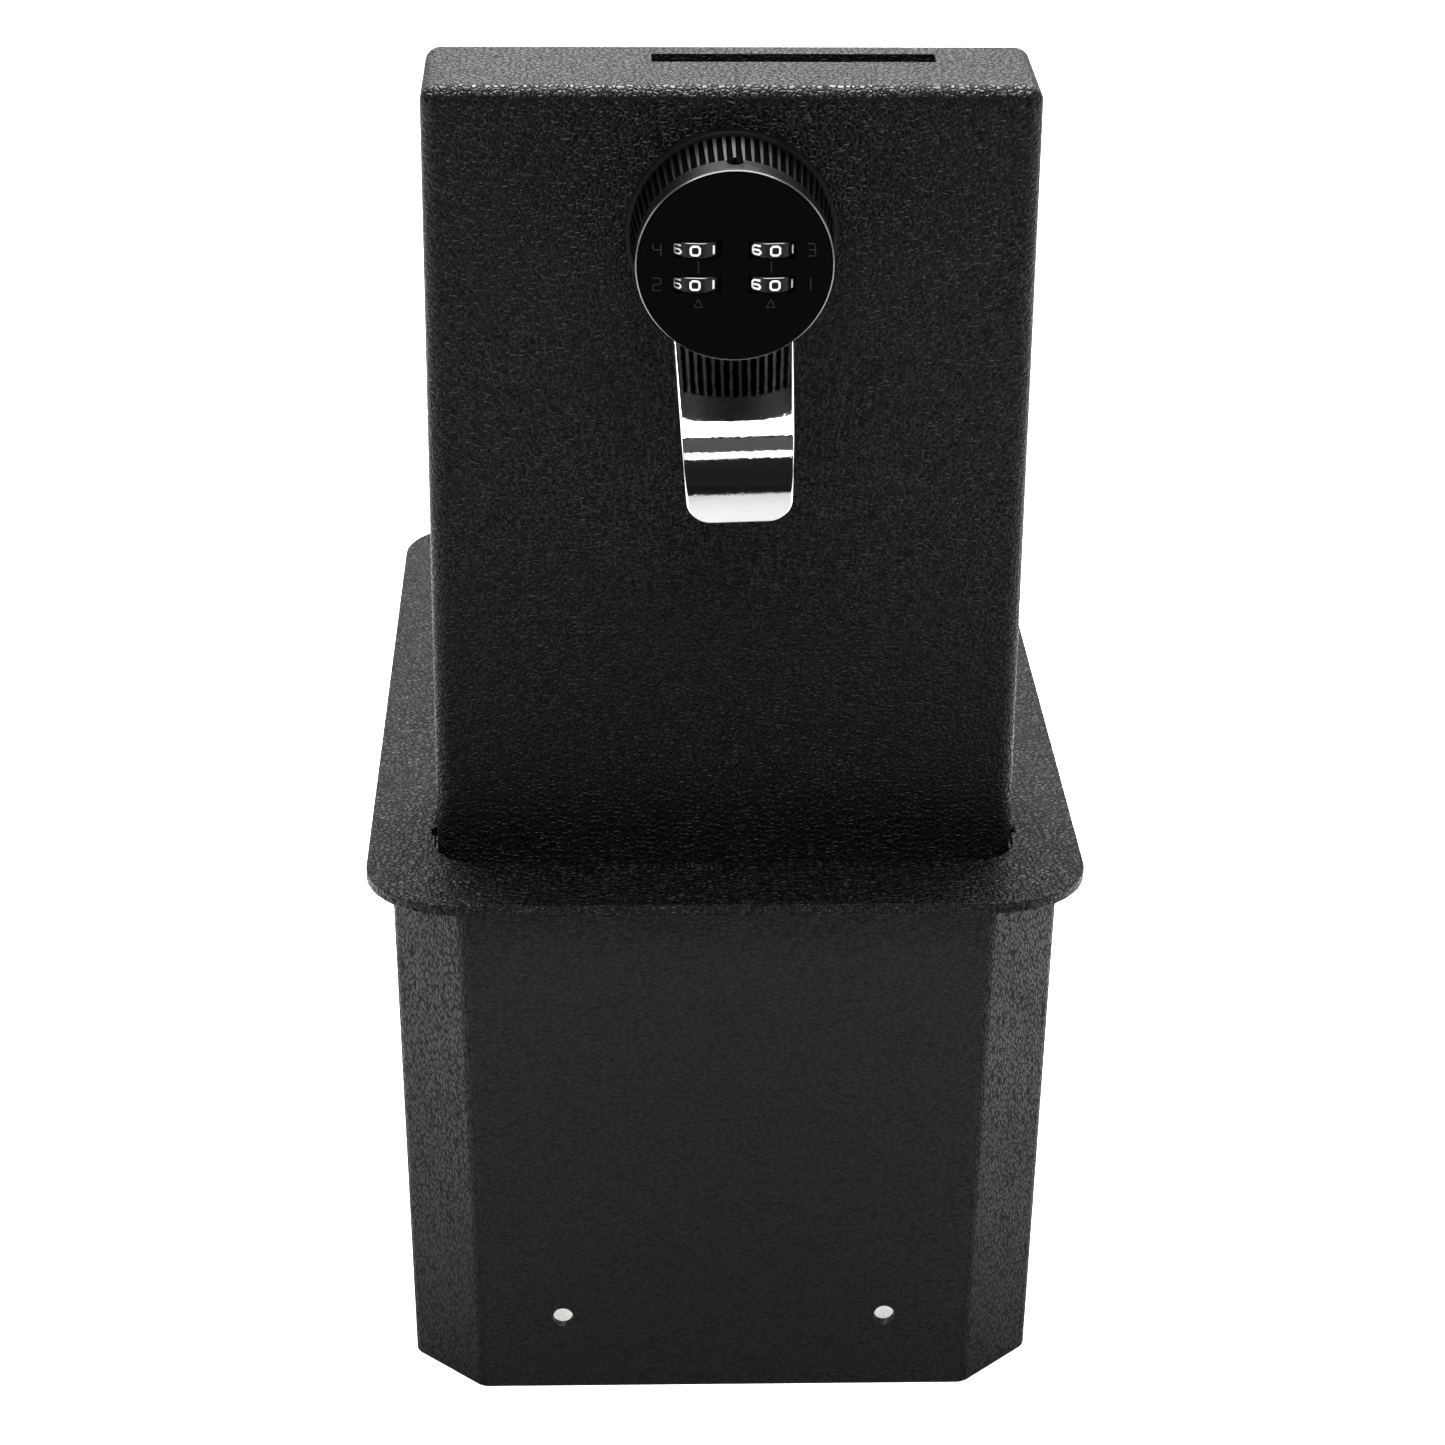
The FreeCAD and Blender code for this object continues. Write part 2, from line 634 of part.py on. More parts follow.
def screw_places():
    rise = math.sqrt(SCREW_RADIUS ** 2 - SCREW_SIDE ** 2)
    return ((-SCREW_SIDE, rise), (SCREW_SIDE, rise), (0, -SCREW_RADIUS))


def knob_back():
    """Disc that shuts the knob's back and carries the spindle's head."""
    back = disc(2 * BACK_R, BACK_UNDER, BACK_TOP)
    cuts = [disc(SPINDLE_D, BACK_UNDER, BACK_TOP)]
    cuts.append(disc(SPINDLE_HEAD_D, BACK_TOP - SPINDLE_HEAD_T, BACK_TOP))
    cuts.append(disc(BOLT_D + 2 * RUNNING_GAP, BACK_UNDER, BACK_TOP, 0, BOLT_RADIUS))
    for place in screw_places():
        cuts.append(disc(SCREW_D, BACK_UNDER, BACK_TOP, *place))
        cuts.append(disc(SCREW_HEAD_D, BACK_UNDER, BACK_UNDER + SCREW_HEAD_T, *place))
    return on_lock(back.cut(cuts))


def knob_back_screws():
    screws = []
    for place in screw_places():
        head = disc(SCREW_HEAD_D, BACK_UNDER, BACK_UNDER + SCREW_HEAD_T, *place)
        shank = disc(SCREW_D, BACK_UNDER + SCREW_HEAD_T, BACK_UNDER + SCREW_LENGTH, *place)
        screws.append(on_lock(head.fuse(shank).removeSplitter()))
    return screws


def code_bolt():
    low = BACK_UNDER + BOLT_LIFT
    bolt = disc(BOLT_D, low, low + BOLT_LENGTH, 0, BOLT_RADIUS)
    return on_lock(bolt.makeChamfer(EDGE_BREAK, level_edges(bolt, low)))


def spindle():
    head = disc(SPINDLE_HEAD_D, BACK_TOP - SPINDLE_HEAD_T, BACK_TOP)
    shaft = disc(SPINDLE_D, CAM_TOP, BACK_TOP - SPINDLE_HEAD_T)
    half = SPINDLE_SQUARE / 2
    square = box((-half, -half, SPINDLE_END), (half, half, CAM_TOP))
    screw_hole = disc(CAM_SCREW_D, SPINDLE_END, CAM_UNDER + CAM_SCREW_LENGTH)
    return on_lock(head.fuse([shaft, square]).removeSplitter().cut(screw_hole))


def cam_spacer():
    high = -BARREL_LENGTH - END_GAP
    return on_lock(disc(SPACER_D, CAM_TOP, high).cut(disc(SPINDLE_D, CAM_TOP, high)))


def latch_cam():
    """Flat arm on the spindle's square, lying to the right inside the lid until the knob is turned."""
    hub = disc(CAM_HUB_D, CAM_UNDER, CAM_TOP)
    arm = box((0, -CAM_WIDTH / 2, CAM_UNDER), (CAM_TIP, CAM_WIDTH / 2, CAM_TOP))
    tip_corners = [e for e in upright_edges(arm) if e.CenterOfMass.x > CAM_TIP / 2]
    arm = arm.makeFillet(CAM_TIP_R, tip_corners)
    half = SPINDLE_SQUARE / 2
    hole = box((-half, -half, CAM_UNDER), (half, half, CAM_TOP))
    return on_lock(hub.fuse(arm).removeSplitter().cut(hole))


def cam_screw():
    washer = disc(CAM_WASHER_D, CAM_UNDER - CAM_WASHER_T, CAM_UNDER)
    head_top = CAM_UNDER - CAM_WASHER_T
    head = disc(CAM_SCREW_HEAD_D, head_top - CAM_SCREW_HEAD_T, head_top)
    shank = disc(CAM_SCREW_D, CAM_UNDER, CAM_UNDER + CAM_SCREW_LENGTH)
    return on_lock(washer.fuse([head, shank]).removeSplitter())


def wheel_axle(side):
    low, high = axle_span()
    return on_lock(long_rod(AXLE_D, low, high, side * WHEEL_SIDE, AXLE_HEIGHT))


def number_wheel(side, row):
    """Ten-sided dial with a gated hub behind it, free on its axle."""
    x = side * WHEEL_SIDE
    top = row + DIAL_T / 2
    bottom = row - DIAL_T / 2
    dial = long_rod(WHEEL_D, bottom, top, x, AXLE_HEIGHT)
    flat_r = (WHEEL_D / 2 - WHEEL_FLAT_CUT) / math.cos(math.pi / WHEEL_FLATS)
    points = []
    for i in range(WHEEL_FLATS):
        angle = (2 * i + 1) * math.pi / WHEEL_FLATS
        points.append(V(x + flat_r * math.sin(angle), bottom, AXLE_HEIGHT + flat_r * math.cos(angle)))
    flats = flat_face(points).extrude(V(0, DIAL_T, 0))
    hub = long_rod(HUB_D, bottom - HUB_T, bottom, x, AXLE_HEIGHT)
    half = GATE_WIDTH / 2
    gate_floor = AXLE_HEIGHT - HUB_D / 2 + GATE_DEPTH
    gate = box((x - half, bottom - HUB_T, gate_floor - HUB_D), (x + half, bottom, gate_floor))
    bore = long_rod(AXLE_D + 2 * RUNNING_GAP, bottom - HUB_T, top, x, AXLE_HEIGHT)
    return on_lock(dial.common(flats).fuse(hub.cut(gate)).cut(bore))


def detent_springs():
    """Bowed leaf under each dial, on the knob's back plate."""
    reach = AXLE_HEIGHT - WHEEL_D / 2 - WHEEL_GAP
    half = LEAF_LENGTH / 2
    knee = half - LEAF_FOOT
    foot = BACK_TOP + LEAF_T
    upper = [(-half, foot), (-knee, foot), (0, reach), (knee, foot), (half, foot)]
    lower = [(x, z - LEAF_T) for x, z in reversed(upper)]
    leaves = []
    for side in (-1, 1):
        for row in WHEEL_ROWS:
            points = [V(side * WHEEL_SIDE + x, row - LEAF_WIDTH / 2, z) for x, z in upper + lower]
            leaf = flat_face(points).extrude(V(0, LEAF_WIDTH, 0))
            leaves.append(on_lock(leaf))
    return leaves


def save(name, shapes):
    """Writes one piece, or a group of like pieces, under its own name."""
    group = shapes if isinstance(shapes, list) else [shapes]
    solids = [solid for shape in group for solid in shape.Solids]
    whole = solids[0] if len(solids) == 1 else Part.makeCompound(solids)
    whole.exportStep("parts/" + name + ".step")
    print(name, len(solids), "solid", whole.isValid(), round(whole.Volume, 1))


SIDES = (("left", -1), ("right", 1))

save("tub_shell", tub_shell())
save("tub_floor", tub_floor())
save("floor_liner", floor_liner())
save("top_frame", top_frame())
save("latch_keeper", latch_keeper())
save("rest_bumpers", rest_bumpers())
save("lid_pan", lid_pan())
for word, side in SIDES:
    save("hinge_bracket_" + word, hinge_bracket(side))
    save("pivot_pin_" + word, pivot_pin(side))
    save("pivot_bush_" + word, pivot_bush(side))
    save("stop_stud_" + word, stop_stud(side))
    save("lid_rest_" + word, lid_rest(side))
    save("wheel_axle_" + word, wheel_axle(side))
save("lock_backing_plate", lock_backing_plate())
save("pull_tab", pull_tab())
save("lock_base", lock_base())
save("lock_washer", lock_washer())
save("lock_nut", lock_nut())
save("knob_shell", knob_shell())
save("knob_face", knob_face())
save("knob_back", knob_back())
save("knob_back_screws", knob_back_screws())
save("code_bolt", code_bolt())
save("spindle", spindle())
save("cam_spacer", cam_spacer())
save("latch_cam", latch_cam())
save("cam_screw", cam_screw())
for row_word, row in zip(("upper", "lower"), WHEEL_ROWS):
    for word, side in SIDES:
        save("number_wheel_" + row_word + "_" + word, number_wheel(side, row))
save("detent_springs", detent_springs())
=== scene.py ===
"""Looks of a drop-in lock box with a code knob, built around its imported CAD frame."""

import json
import logging
import math
from dataclasses import dataclass, field
from enum import Enum

import bmesh
import bpy
from mathutils import Matrix, Vector

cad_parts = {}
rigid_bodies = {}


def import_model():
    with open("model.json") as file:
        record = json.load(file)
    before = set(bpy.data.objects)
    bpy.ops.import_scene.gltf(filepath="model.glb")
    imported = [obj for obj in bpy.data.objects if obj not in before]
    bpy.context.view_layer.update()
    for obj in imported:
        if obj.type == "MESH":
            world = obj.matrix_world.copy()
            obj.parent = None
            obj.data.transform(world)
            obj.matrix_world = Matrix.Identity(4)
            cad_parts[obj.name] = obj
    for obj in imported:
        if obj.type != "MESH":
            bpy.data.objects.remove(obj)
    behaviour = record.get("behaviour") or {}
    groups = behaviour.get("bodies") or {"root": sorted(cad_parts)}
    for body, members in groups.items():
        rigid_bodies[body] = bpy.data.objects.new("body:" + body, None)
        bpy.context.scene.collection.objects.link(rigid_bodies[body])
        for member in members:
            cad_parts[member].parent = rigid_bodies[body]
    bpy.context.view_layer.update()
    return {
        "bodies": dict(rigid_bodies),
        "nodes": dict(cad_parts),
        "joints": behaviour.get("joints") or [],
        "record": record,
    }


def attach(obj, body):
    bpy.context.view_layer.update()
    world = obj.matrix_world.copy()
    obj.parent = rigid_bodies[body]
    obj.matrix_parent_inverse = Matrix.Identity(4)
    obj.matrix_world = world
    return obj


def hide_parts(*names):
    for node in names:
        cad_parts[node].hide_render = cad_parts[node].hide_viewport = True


LOG = logging.getLogger("lock_box")
MM = 0.001
# In millimetres: places closer than TOUCH are the same, and PAST reaches clear of a face
TOUCH = 1e-4
PAST = 1.0
# Least share of a direction along an axis, for edges and walls that lean and for flat walls
LEANING = 0.9
FLAT = 0.999
# Angle from which edges of turned and carved pieces stay sharp
SHARP_DEGREES = 30.0
# A figure's line is eased at each end by its length over this at most
EASE_PART = 2.2
X_AXIS = Vector((1, 0, 0))
Y_AXIS = Vector((0, 1, 0))
Z_AXIS = Vector((0, 0, 1))
# Range in which most of a noise lies
NOISE_MIDDLE = (0.3, 0.7)
Mesh = bmesh.types.BMesh
Vert = bmesh.types.BMVert
Edge = bmesh.types.BMEdge
Face = bmesh.types.BMFace
Material = bpy.types.Material
Node = bpy.types.Node
Socket = bpy.types.NodeSocket
Piece = bpy.types.Object
Pair = tuple[float, float]
Triple = tuple[float, float, float]
Span = tuple[Vector, float, float]


class Body(Enum):
    """CAD bodies that pieces ride on."""

    TUB = "tub"
    LID = "lid"
    KNOB = "knob"


class Slot(Enum):
    """Material slots of the record."""

    COAT = "powder_coat"
    LOCK = "lock_black"
    FACE = "face_black"
    WHEEL = "wheel_black"
    CHROME = "chrome"
    STEEL = "zinc_steel"
    BRONZE = "bronze"
    RUBBER = "rubber"
    FELT = "felt"


class NodeSheet:
    """Small helper that lays out the shader nodes of one material."""

    def __init__(self, name: str) -> None:
        """Starts a material with a plain principled shader.

        Args:
            name: name of the material.
        """
        self.material = bpy.data.materials.new(name)
        self.material.use_nodes = True
        self.tree = self.material.node_tree
        self.shader = self.tree.nodes["Principled BSDF"]

    def set(self, **values: object) -> None:
        """Sets sockets of the shader, with spaces in their names written as underscores."""
        for key, value in values.items():
            self.shader.inputs[key.replace("_", " ")].default_value = value

    def add(self, kind: str, **values: object) -> Node:
        """Adds a node.

        Args:
            kind: Blender's name of the node type.
            values: properties of the node, or constants for its input sockets.

        Returns:
            The new node.
        """
        node = self.tree.nodes.new(kind)
        for key, value in values.items():
            if hasattr(node, key):
                setattr(node, key, value)
            else:
                node.inputs[key.replace("_", " ")].default_value = value
        return node

    def join(self, source: Socket, target: Socket) -> None:
        """Links two sockets."""
        self.tree.links.new(source, target)

    def coordinates(self, stretch: Triple = (1.0, 1.0, 1.0), turn: Triple = (0.0, 0.0, 0.0)) -> Socket:
        """Object coordinates in millimetres, turned and then stretched along the axes.

        Args:
            stretch: factor along each axis.
            turn: angles about the axes.

        Returns:
            The socket that carries the coordinates.
        """
        source = self.add("ShaderNodeTexCoord")
        turned = self.add("ShaderNodeMapping")
        turned.inputs["Rotation"].default_value = turn
        mapping = self.add("ShaderNodeMapping")
        mapping.inputs["Scale"].default_value = [factor / MM for factor in stretch]
        self.join(source.outputs["Object"], turned.inputs["Vector"])
        self.join(turned.outputs["Vector"], mapping.inputs["Vector"])
        return mapping.outputs["Vector"]

    def noise(self, where: Socket, size: float, detail: float = 3.0) -> Node:
        """Noise texture.

        Args:
            where: socket with coordinates in millimetres.
            size: size of its largest features in millimetres.
            detail: octaves.

        Returns:
            The noise node.
        """
        node = self.add("ShaderNodeTexNoise", Scale=1.0 / size, Detail=detail)
        self.join(where, node.inputs["Vector"])
        return node

    def ranged(self, value: Socket, source: Pair, target: Pair = (0.0, 1.0)) -> Socket:
        """Value carried from one range to another, clamped.

        Args:
            value: socket to read.
            source: range read from.
            target: range written to.

        Returns:
            The socket with the new value.
        """
        node = self.add("ShaderNodeMapRange")
        for name, number in zip(("From Min", "From Max", "To Min", "To Max"), source + target):
            node.inputs[name].default_value = number
        self.join(value, node.inputs["Value"])
        return node.outputs["Result"]

    def combine(self, operation: str, first: Socket, second: Socket) -> Socket:
        """Result of an arithmetic operation on two values.

        Args:
            operation: Blender's name of the operation.
            first: socket with the first value.
            second: socket with the second value.

        Returns:
            The socket with the result.
        """
        node = self.add("ShaderNodeMath", operation=operation)
        self.join(first, node.inputs[0])
        self.join(second, node.inputs[1])
        return node.outputs[0]

    def choose(self, factor: Socket, low: Socket, high: float) -> Socket:
        """Value that goes from a varying one to a fixed one.

        Args:
            factor: socket with the share of the fixed value.
            low: socket with the varying value.
            high: the fixed value.

        Returns:
            The socket with the result.
        """
        node = self.add("ShaderNodeMix", data_type="FLOAT")
        node.inputs["B"].default_value = high
        self.join(factor, node.inputs["Factor"])
        self.join(low, node.inputs["A"])
        return node.outputs["Result"]

    def ramp(self, value: Socket, low: tuple[float, ...], high: tuple[float, ...]) -> None:
        """Colours the shader by a value.

        Args:
            value: socket to read, from 0 to 1.
            low: colour at 0.
            high: colour at 1.
        """
        node = self.add("ShaderNodeValToRGB")
        node.color_ramp.elements[0].color = (*low, 1.0)
        node.color_ramp.elements[1].color = (*high, 1.0)
        self.join(value, node.inputs["Fac"])
        self.join(node.outputs["Color"], self.shader.inputs["Base Color"])

    def gloss(self, noise: Node, roughness: Pair) -> None:
        """Varies the shader's roughness with the middle range of a noise."""
        self.join(self.ranged(noise.outputs["Fac"], NOISE_MIDDLE, roughness), self.shader.inputs["Roughness"])

    def bump(self, height: Socket, depth: float, strength: float, under: Socket | None = None) -> Socket:
        """Bump from a height.

        Args:
            height: socket with a height from 0 to 1.
            depth: depth in millimetres of a height of 1.
            strength: share of the bump that shows.
            under: normal that this bump lies on, if any.

        Returns:
            The bumped normal, which is also given to the shader.
        """
        node = self.add("ShaderNodeBump", Strength=strength, Distance=depth * MM)
        self.join(height, node.inputs["Height"])
        if under is not None:
            self.join(under, node.inputs["Normal"])
        self.join(node.outputs["Normal"], self.shader.inputs["Normal"])
        return node.outputs["Normal"]


@dataclass(frozen=True)
class WrinkleCoat:
    """Black powder coat that dries to a leather-like net of creases between raised cells; the creases are
    coloured darker as painted shade.
    """

    name: str
    cell: float = 0.95
    stretch: Triple = (1.0, 1.0, 1.0)
    lean: float = 0.0
    crease: float = 0.3
    depth: float = 0.14
    raised: Triple = (0.0026, 0.0026, 0.0027)
    # Colour of the creases: painted shade, darker than the raised cells.
    painted_crease_shade: Triple = (0.0006, 0.0006, 0.0006)
    roughness: Pair = (0.30, 0.44)
    creased_roughness: float = 0.9
    dull_below: Pair = (-2.0, -1.0)
    dull_roughness: float = 0.9
    specular: float = 0.28
    sway_size: float = 1.9
    sway_share: float = 0.7
    flat_shares: Pair = (0.1, 0.6)
    crease_strength: float = 0.9
    fine_size: float = 0.45
    fine_share: float = 0.3
    fine_strength: float = 0.6
    patch_size: float = 16.0

    def material(self) -> Material:
        """Builds the material.

        Returns:
            The material.
        """
        sheet = NodeSheet(self.name)
        sheet.set(Specular_IOR_Level=self.specular)
        where = sheet.coordinates(self.stretch, (0.0, math.radians(self.lean), 0.0))
        sway = sheet.noise(where, self.sway_size * self.cell, 2.0)
        mix = sheet.add("ShaderNodeMixRGB", blend_type="LINEAR_LIGHT")
        mix.inputs["Fac"].default_value = self.sway_share * self.cell
        sheet.join(where, mix.inputs["Color1"])
        sheet.join(sway.outputs["Color"], mix.inputs["Color2"])
        cells = sheet.add("ShaderNodeTexVoronoi", feature="DISTANCE_TO_EDGE", Scale=1.0 / self.cell)
        sheet.join(mix.outputs["Color"], cells.inputs["Vector"])
        dome = sheet.ranged(cells.outputs["Distance"], (0.0, self.crease))
        low, high = self.flat_shares
        flat = sheet.ranged(cells.outputs["Distance"], (low * self.crease, high * self.crease))
        fine = sheet.noise(where, self.fine_size * self.cell)
        patches = sheet.noise(where, self.patch_size * self.cell)
        # Painted shade: the creases are coloured darker than the raised cells, by the same mask that makes
        # them rougher.
        sheet.ramp(flat, self.painted_crease_shade, self.raised)
        worn = sheet.ranged(patches.outputs["Fac"], NOISE_MIDDLE, self.roughness)
        blend = sheet.add("ShaderNodeMix", data_type="FLOAT")
        height = sheet.add("ShaderNodeSeparateXYZ")
        sheet.join(sheet.coordinates(), height.inputs["Vector"])
        dulled = (self.dull_roughness, self.creased_roughness)
        sheet.join(sheet.ranged(height.outputs["Z"], self.dull_below, dulled), blend.inputs["A"])
        sheet.join(flat, blend.inputs["Factor"])
        sheet.join(worn, blend.inputs["B"])
        sheet.join(blend.outputs["Result"], sheet.shader.inputs["Roughness"])
        creases = sheet.bump(dome, self.depth, self.crease_strength)
        sheet.bump(fine.outputs["Fac"], self.fine_share * self.depth, self.fine_strength, creases)
        return sheet.material


@dataclass(frozen=True)
class Moulding:
    """Smooth black finish with a faint flow grain."""

    name: str
    colour: Triple
    roughness: Pair
    grain: float = 0.35
    cloud: float = 9.0
    dark_share: float = 0.7
    depth: float = 0.006
    strength: float = 0.5
    specular: float = 0.5

    def material(self) -> Material:
        """Builds the material.

        Returns:
            The material.
        """
        sheet = NodeSheet(self.name)
        sheet.set(Specular_IOR_Level=self.specular)
        where = sheet.coordinates()
        grain = sheet.noise(where, self.grain)
        clouds = sheet.noise(where, self.cloud)
        dark = tuple(self.dark_share * part for part in self.colour)
        sheet.ramp(clouds.outputs["Fac"], dark, self.colour)
        sheet.gloss(clouds, self.roughness)
        sheet.bump(grain.outputs["Fac"], self.depth, self.strength)
        return sheet.material


@dataclass(frozen=True)
class BareMetal:
    """Plated or plain metal with fine rubbing marks along one axis."""

    name: str
    colour: Triple
    roughness: Pair
    rub: Triple = (1.0, 1.0, 1.0)
    ripple: float = 1.0
    cloud: float = 12.0
    dull_share: float = 0.86
    depth: float = 0.004
    strength: float = 0.5

    def material(self) -> Material:
        """Builds the material.

        Returns:
            The material.
        """
        sheet = NodeSheet(self.name)
        sheet.set(Metallic=1.0)
        where = sheet.coordinates(self.rub)
        marks = sheet.noise(where, self.ripple, 4.0)
        clouds = sheet.noise(where, self.cloud * self.ripple, 2.0)
        dull = tuple(self.dull_share * part for part in self.colour)
        sheet.ramp(clouds.outputs["Fac"], dull, self.colour)
        sheet.gloss(marks, self.roughness)
        sheet.bump(marks.outputs["Fac"], self.depth, self.strength)
        return sheet.material


@dataclass(frozen=True)
class Soft:
    """Felt or rubber: rough, with a fibre or pore texture and a little sheen."""

    name: str
    low: Triple
    high: Triple
    fibre: float
    depth: float
    sheen: float = 0.0
    tangle: float = 1.6
    strength: float = 0.8
    roughness: float = 0.92
    specular: float = 0.2

    def material(self) -> Material:
        """Builds the material.

        Returns:
            The material.
        """
        sheet = NodeSheet(self.name)
        sheet.set(Roughness=self.roughness, Sheen_Weight=self.sheen, Specular_IOR_Level=self.specular)
        where = sheet.coordinates()
        fibres = sheet.noise(where, self.fibre, 5.0)
        fibres.inputs["Distortion"].default_value = self.tangle
        sheet.ramp(sheet.ranged(fibres.outputs["Fac"], NOISE_MIDDLE), self.low, self.high)
        sheet.bump(fibres.outputs["Fac"], self.depth, self.strength)
        return sheet.material


def grey(level: float) -> Triple:
    """Neutral colour."""
    return (level, level, level)


def made(recipe: WrinkleCoat | Moulding | BareMetal | Soft) -> Material:
    """Field for a finish that is made together with the others."""
    return field(default_factory=recipe.material)


@dataclass
class Finishes:
    """Every finish of the box, made once."""

    coat: Material = made(WrinkleCoat(
        "coat_lid", cell=1.3, crease=0.2, depth=0.3, roughness=(0.26, 0.4), creased_roughness=0.26,
        dull_below=(110.0, 220.0), specular=0.1))
    coat_frame: Material = made(WrinkleCoat(
        "coat_frame", cell=1.4, crease=0.24, depth=0.42, roughness=(0.26, 0.4), creased_roughness=0.26,
        specular=0.11))
    coat_end: Material = made(WrinkleCoat(
        "coat_end", cell=1.3, crease=0.2, depth=0.26, roughness=(0.28, 0.42), specular=0.09))
    coat_tub: Material = made(WrinkleCoat("coat_tub", cell=1.1, stretch=(0.6, 1.0, 1.5), depth=0.07))
    coat_corner: Material = made(WrinkleCoat(
        "coat_corner", cell=0.9, stretch=(1.3, 1.3, 0.45), lean=14.0, depth=0.06, specular=0.2))
    lock: Material = made(Moulding("lock_black", grey(0.0006), (0.3, 0.36), depth=0.003, specular=0.24))
    # Painted shade: a dull black copy of the knob's finish that reflects nothing, for its grooves, the rim's
    # flat top and the pinhole.
    painted_shade: Material = made(Moulding("painted_shade_black", grey(0.001), (0.8, 0.9), specular=0.0))
    band: Material = made(Moulding("band_black", grey(0.0008), (0.24, 0.3), depth=0.003, specular=0.16))
    # Painted highlight: a brighter, fully reflective copy of the knob's finish for the rim's chamfer.
    rim: Material = made(Moulding("rim_painted_highlight", grey(0.03), (0.2, 0.28), specular=1.0))
    face: Material = made(Moulding("face_black", grey(0.001), (0.16, 0.22), depth=0.003, specular=0.025))
    wheel: Material = made(Moulding("wheel_black", grey(0.003), (0.24, 0.32), specular=0.14))
    # Painted highlight: a brighter, fully reflective copy of the wheels' finish for their chamfers.
    wheel_edge_painted_highlight: Material = made(Moulding("wheel_edge_painted_highlight", grey(0.02), (0.14, 0.2), specular=1.0))
    base: Material = made(Moulding("base_black", grey(0.002), (0.42, 0.5), specular=0.12))
    mark: Material = made(Moulding("engraved_mark", grey(0.009), (0.5, 0.6), specular=0.2))
    white: Material = made(Moulding("figure_white", (0.93, 0.93, 0.92), (0.4, 0.5)))
    chrome: Material = made(BareMetal(
        "bright_chrome", (0.86, 0.87, 0.88), (0.02, 0.06), ripple=0.8, depth=0.022))
    steel: Material = made(BareMetal(
        "zinc_steel", (0.55, 0.55, 0.56), (0.26, 0.42), rub=(1.0, 4.0, 4.0), ripple=1.2))
    bronze: Material = made(BareMetal("bush_bronze", (0.03, 0.024, 0.017), (0.5, 0.65)))
    rubber: Material = made(Soft("bumper_rubber", grey(0.012), grey(0.03), 0.5, 0.03))
    felt: Material = made(Soft("liner_felt", (0.40, 0.40, 0.39), (0.62, 0.62, 0.60), 0.6, 0.35, 0.3))

    def for_slot(self, slot: Slot) -> Material:
        """Finish that CAD nodes take.

        Args:
            slot: their material slot.

        Returns:
            The material.
        """
        return {
            Slot.COAT: self.coat, Slot.LOCK: self.lock, Slot.FACE: self.face, Slot.WHEEL: self.wheel,
            Slot.CHROME: self.chrome, Slot.STEEL: self.steel, Slot.BRONZE: self.bronze,
            Slot.RUBBER: self.rubber, Slot.FELT: self.felt,
        }[slot]


@dataclass(frozen=True)
class Trim:
    """How a piece is finished after its mesh is made, in millimetres."""

    wall: float = 0.0
    edge: float = 0.0
    edge_segments: int = 2
    edge_clamped: bool = True
    sharp_degrees: float = 40.0


@dataclass(frozen=True)
class Carrier:
    """What a piece rides on, its material slot and the CAD nodes it stands for."""

    body: str
    slot: Slot
    stands_for: tuple[str, ...] = ()


def to_mesh(bm: Mesh, name: str) -> bpy.types.Mesh:
    """Turns a mesh that is being edited into a finished one.

    Args:
        bm: the mesh, which is freed.
        name: name of the finished mesh.

    Returns:
        The finished mesh.
    """
    mesh = bpy.data.meshes.new(name)
    bm.to_mesh(mesh)
    bm.free()
    return mesh


def show(name: str, data: bpy.types.ID) -> Piece:
    """Puts a thing into the scene.

    Args:
        name: its name.
        data: its mesh, light or camera.

    Returns:
        The new object.
    """
    shown = bpy.data.objects.new(name, data)
    bpy.context.scene.collection.objects.link(shown)
    return shown


def add_piece(bm: Mesh, name: str, place: Matrix, finish: Material, carrier: Carrier, trim: Trim = Trim(),
              extra: tuple[Material, ...] = ()) -> Piece:
    """Turns a mesh drawn in millimetres into a finished piece of the box.

    Args:
        bm: the mesh, which is freed.
        name: name of the piece.
        place: where its own frame lies in the row frame, in millimetres.
        finish: its material.
        carrier: body, slot and replaced nodes.
        trim: wall thickness and edge rounding.
        extra: materials of the faces with index 1 and up.

    Returns:
        The new object.
    """
    bmesh.ops.transform(bm, matrix=Matrix.Scale(MM, 4) @ place, verts=bm.verts)
    mesh = to_mesh(bm, name)
    piece = add_mesh(mesh, name, finish, carrier, trim)
    for material in extra:
        mesh.materials.append(material)
    return piece


def add_mesh(mesh: bpy.types.Mesh, name: str, finish: Material, carrier: Carrier,
             trim: Trim = Trim()) -> Piece:
    """Dresses a mesh that is already in its place and makes it ride.

    Args:
        mesh: the mesh, in metres in the row frame.
        name: name of the piece.
        finish: its material.
        carrier: body, slot and replaced nodes.
        trim: wall thickness and edge rounding.

    Returns:
        The new object.
    """
    mesh.name = name
    mesh.shade_smooth()
    mesh.materials.append(finish)
    piece = show(name, mesh)
    if trim.wall:
        wall = piece.modifiers.new("wall", "SOLIDIFY")
        wall.thickness = trim.wall * MM
        wall.offset = -1.0
        wall.use_even_offset = True
        wall.use_quality_normals = True
    if trim.edge:
        edge = piece.modifiers.new("edge", "BEVEL")
        edge.width = trim.edge * MM
        edge.segments = trim.edge_segments
        edge.limit_method = "ANGLE"
        edge.angle_limit = math.radians(trim.sharp_degrees)
        edge.use_clamp_overlap = trim.edge_clamped
        edge.loop_slide = trim.edge_clamped
        normals = piece.modifiers.new("normals", "WEIGHTED_NORMAL")
        normals.keep_sharp = True
    else:
        mesh.set_sharp_from_angle(angle=math.radians(trim.sharp_degrees))
    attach(piece, carrier.body)
    if carrier.stands_for:
        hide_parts(*carrier.stands_for)
    LOG.info("piece %s rides on %s", name, carrier.body)
    return piece


def picked(geometry: list, kind: type) -> list:
    """Elements of one kind in what an operator made."""
    return [item for item in geometry if isinstance(item, kind)]


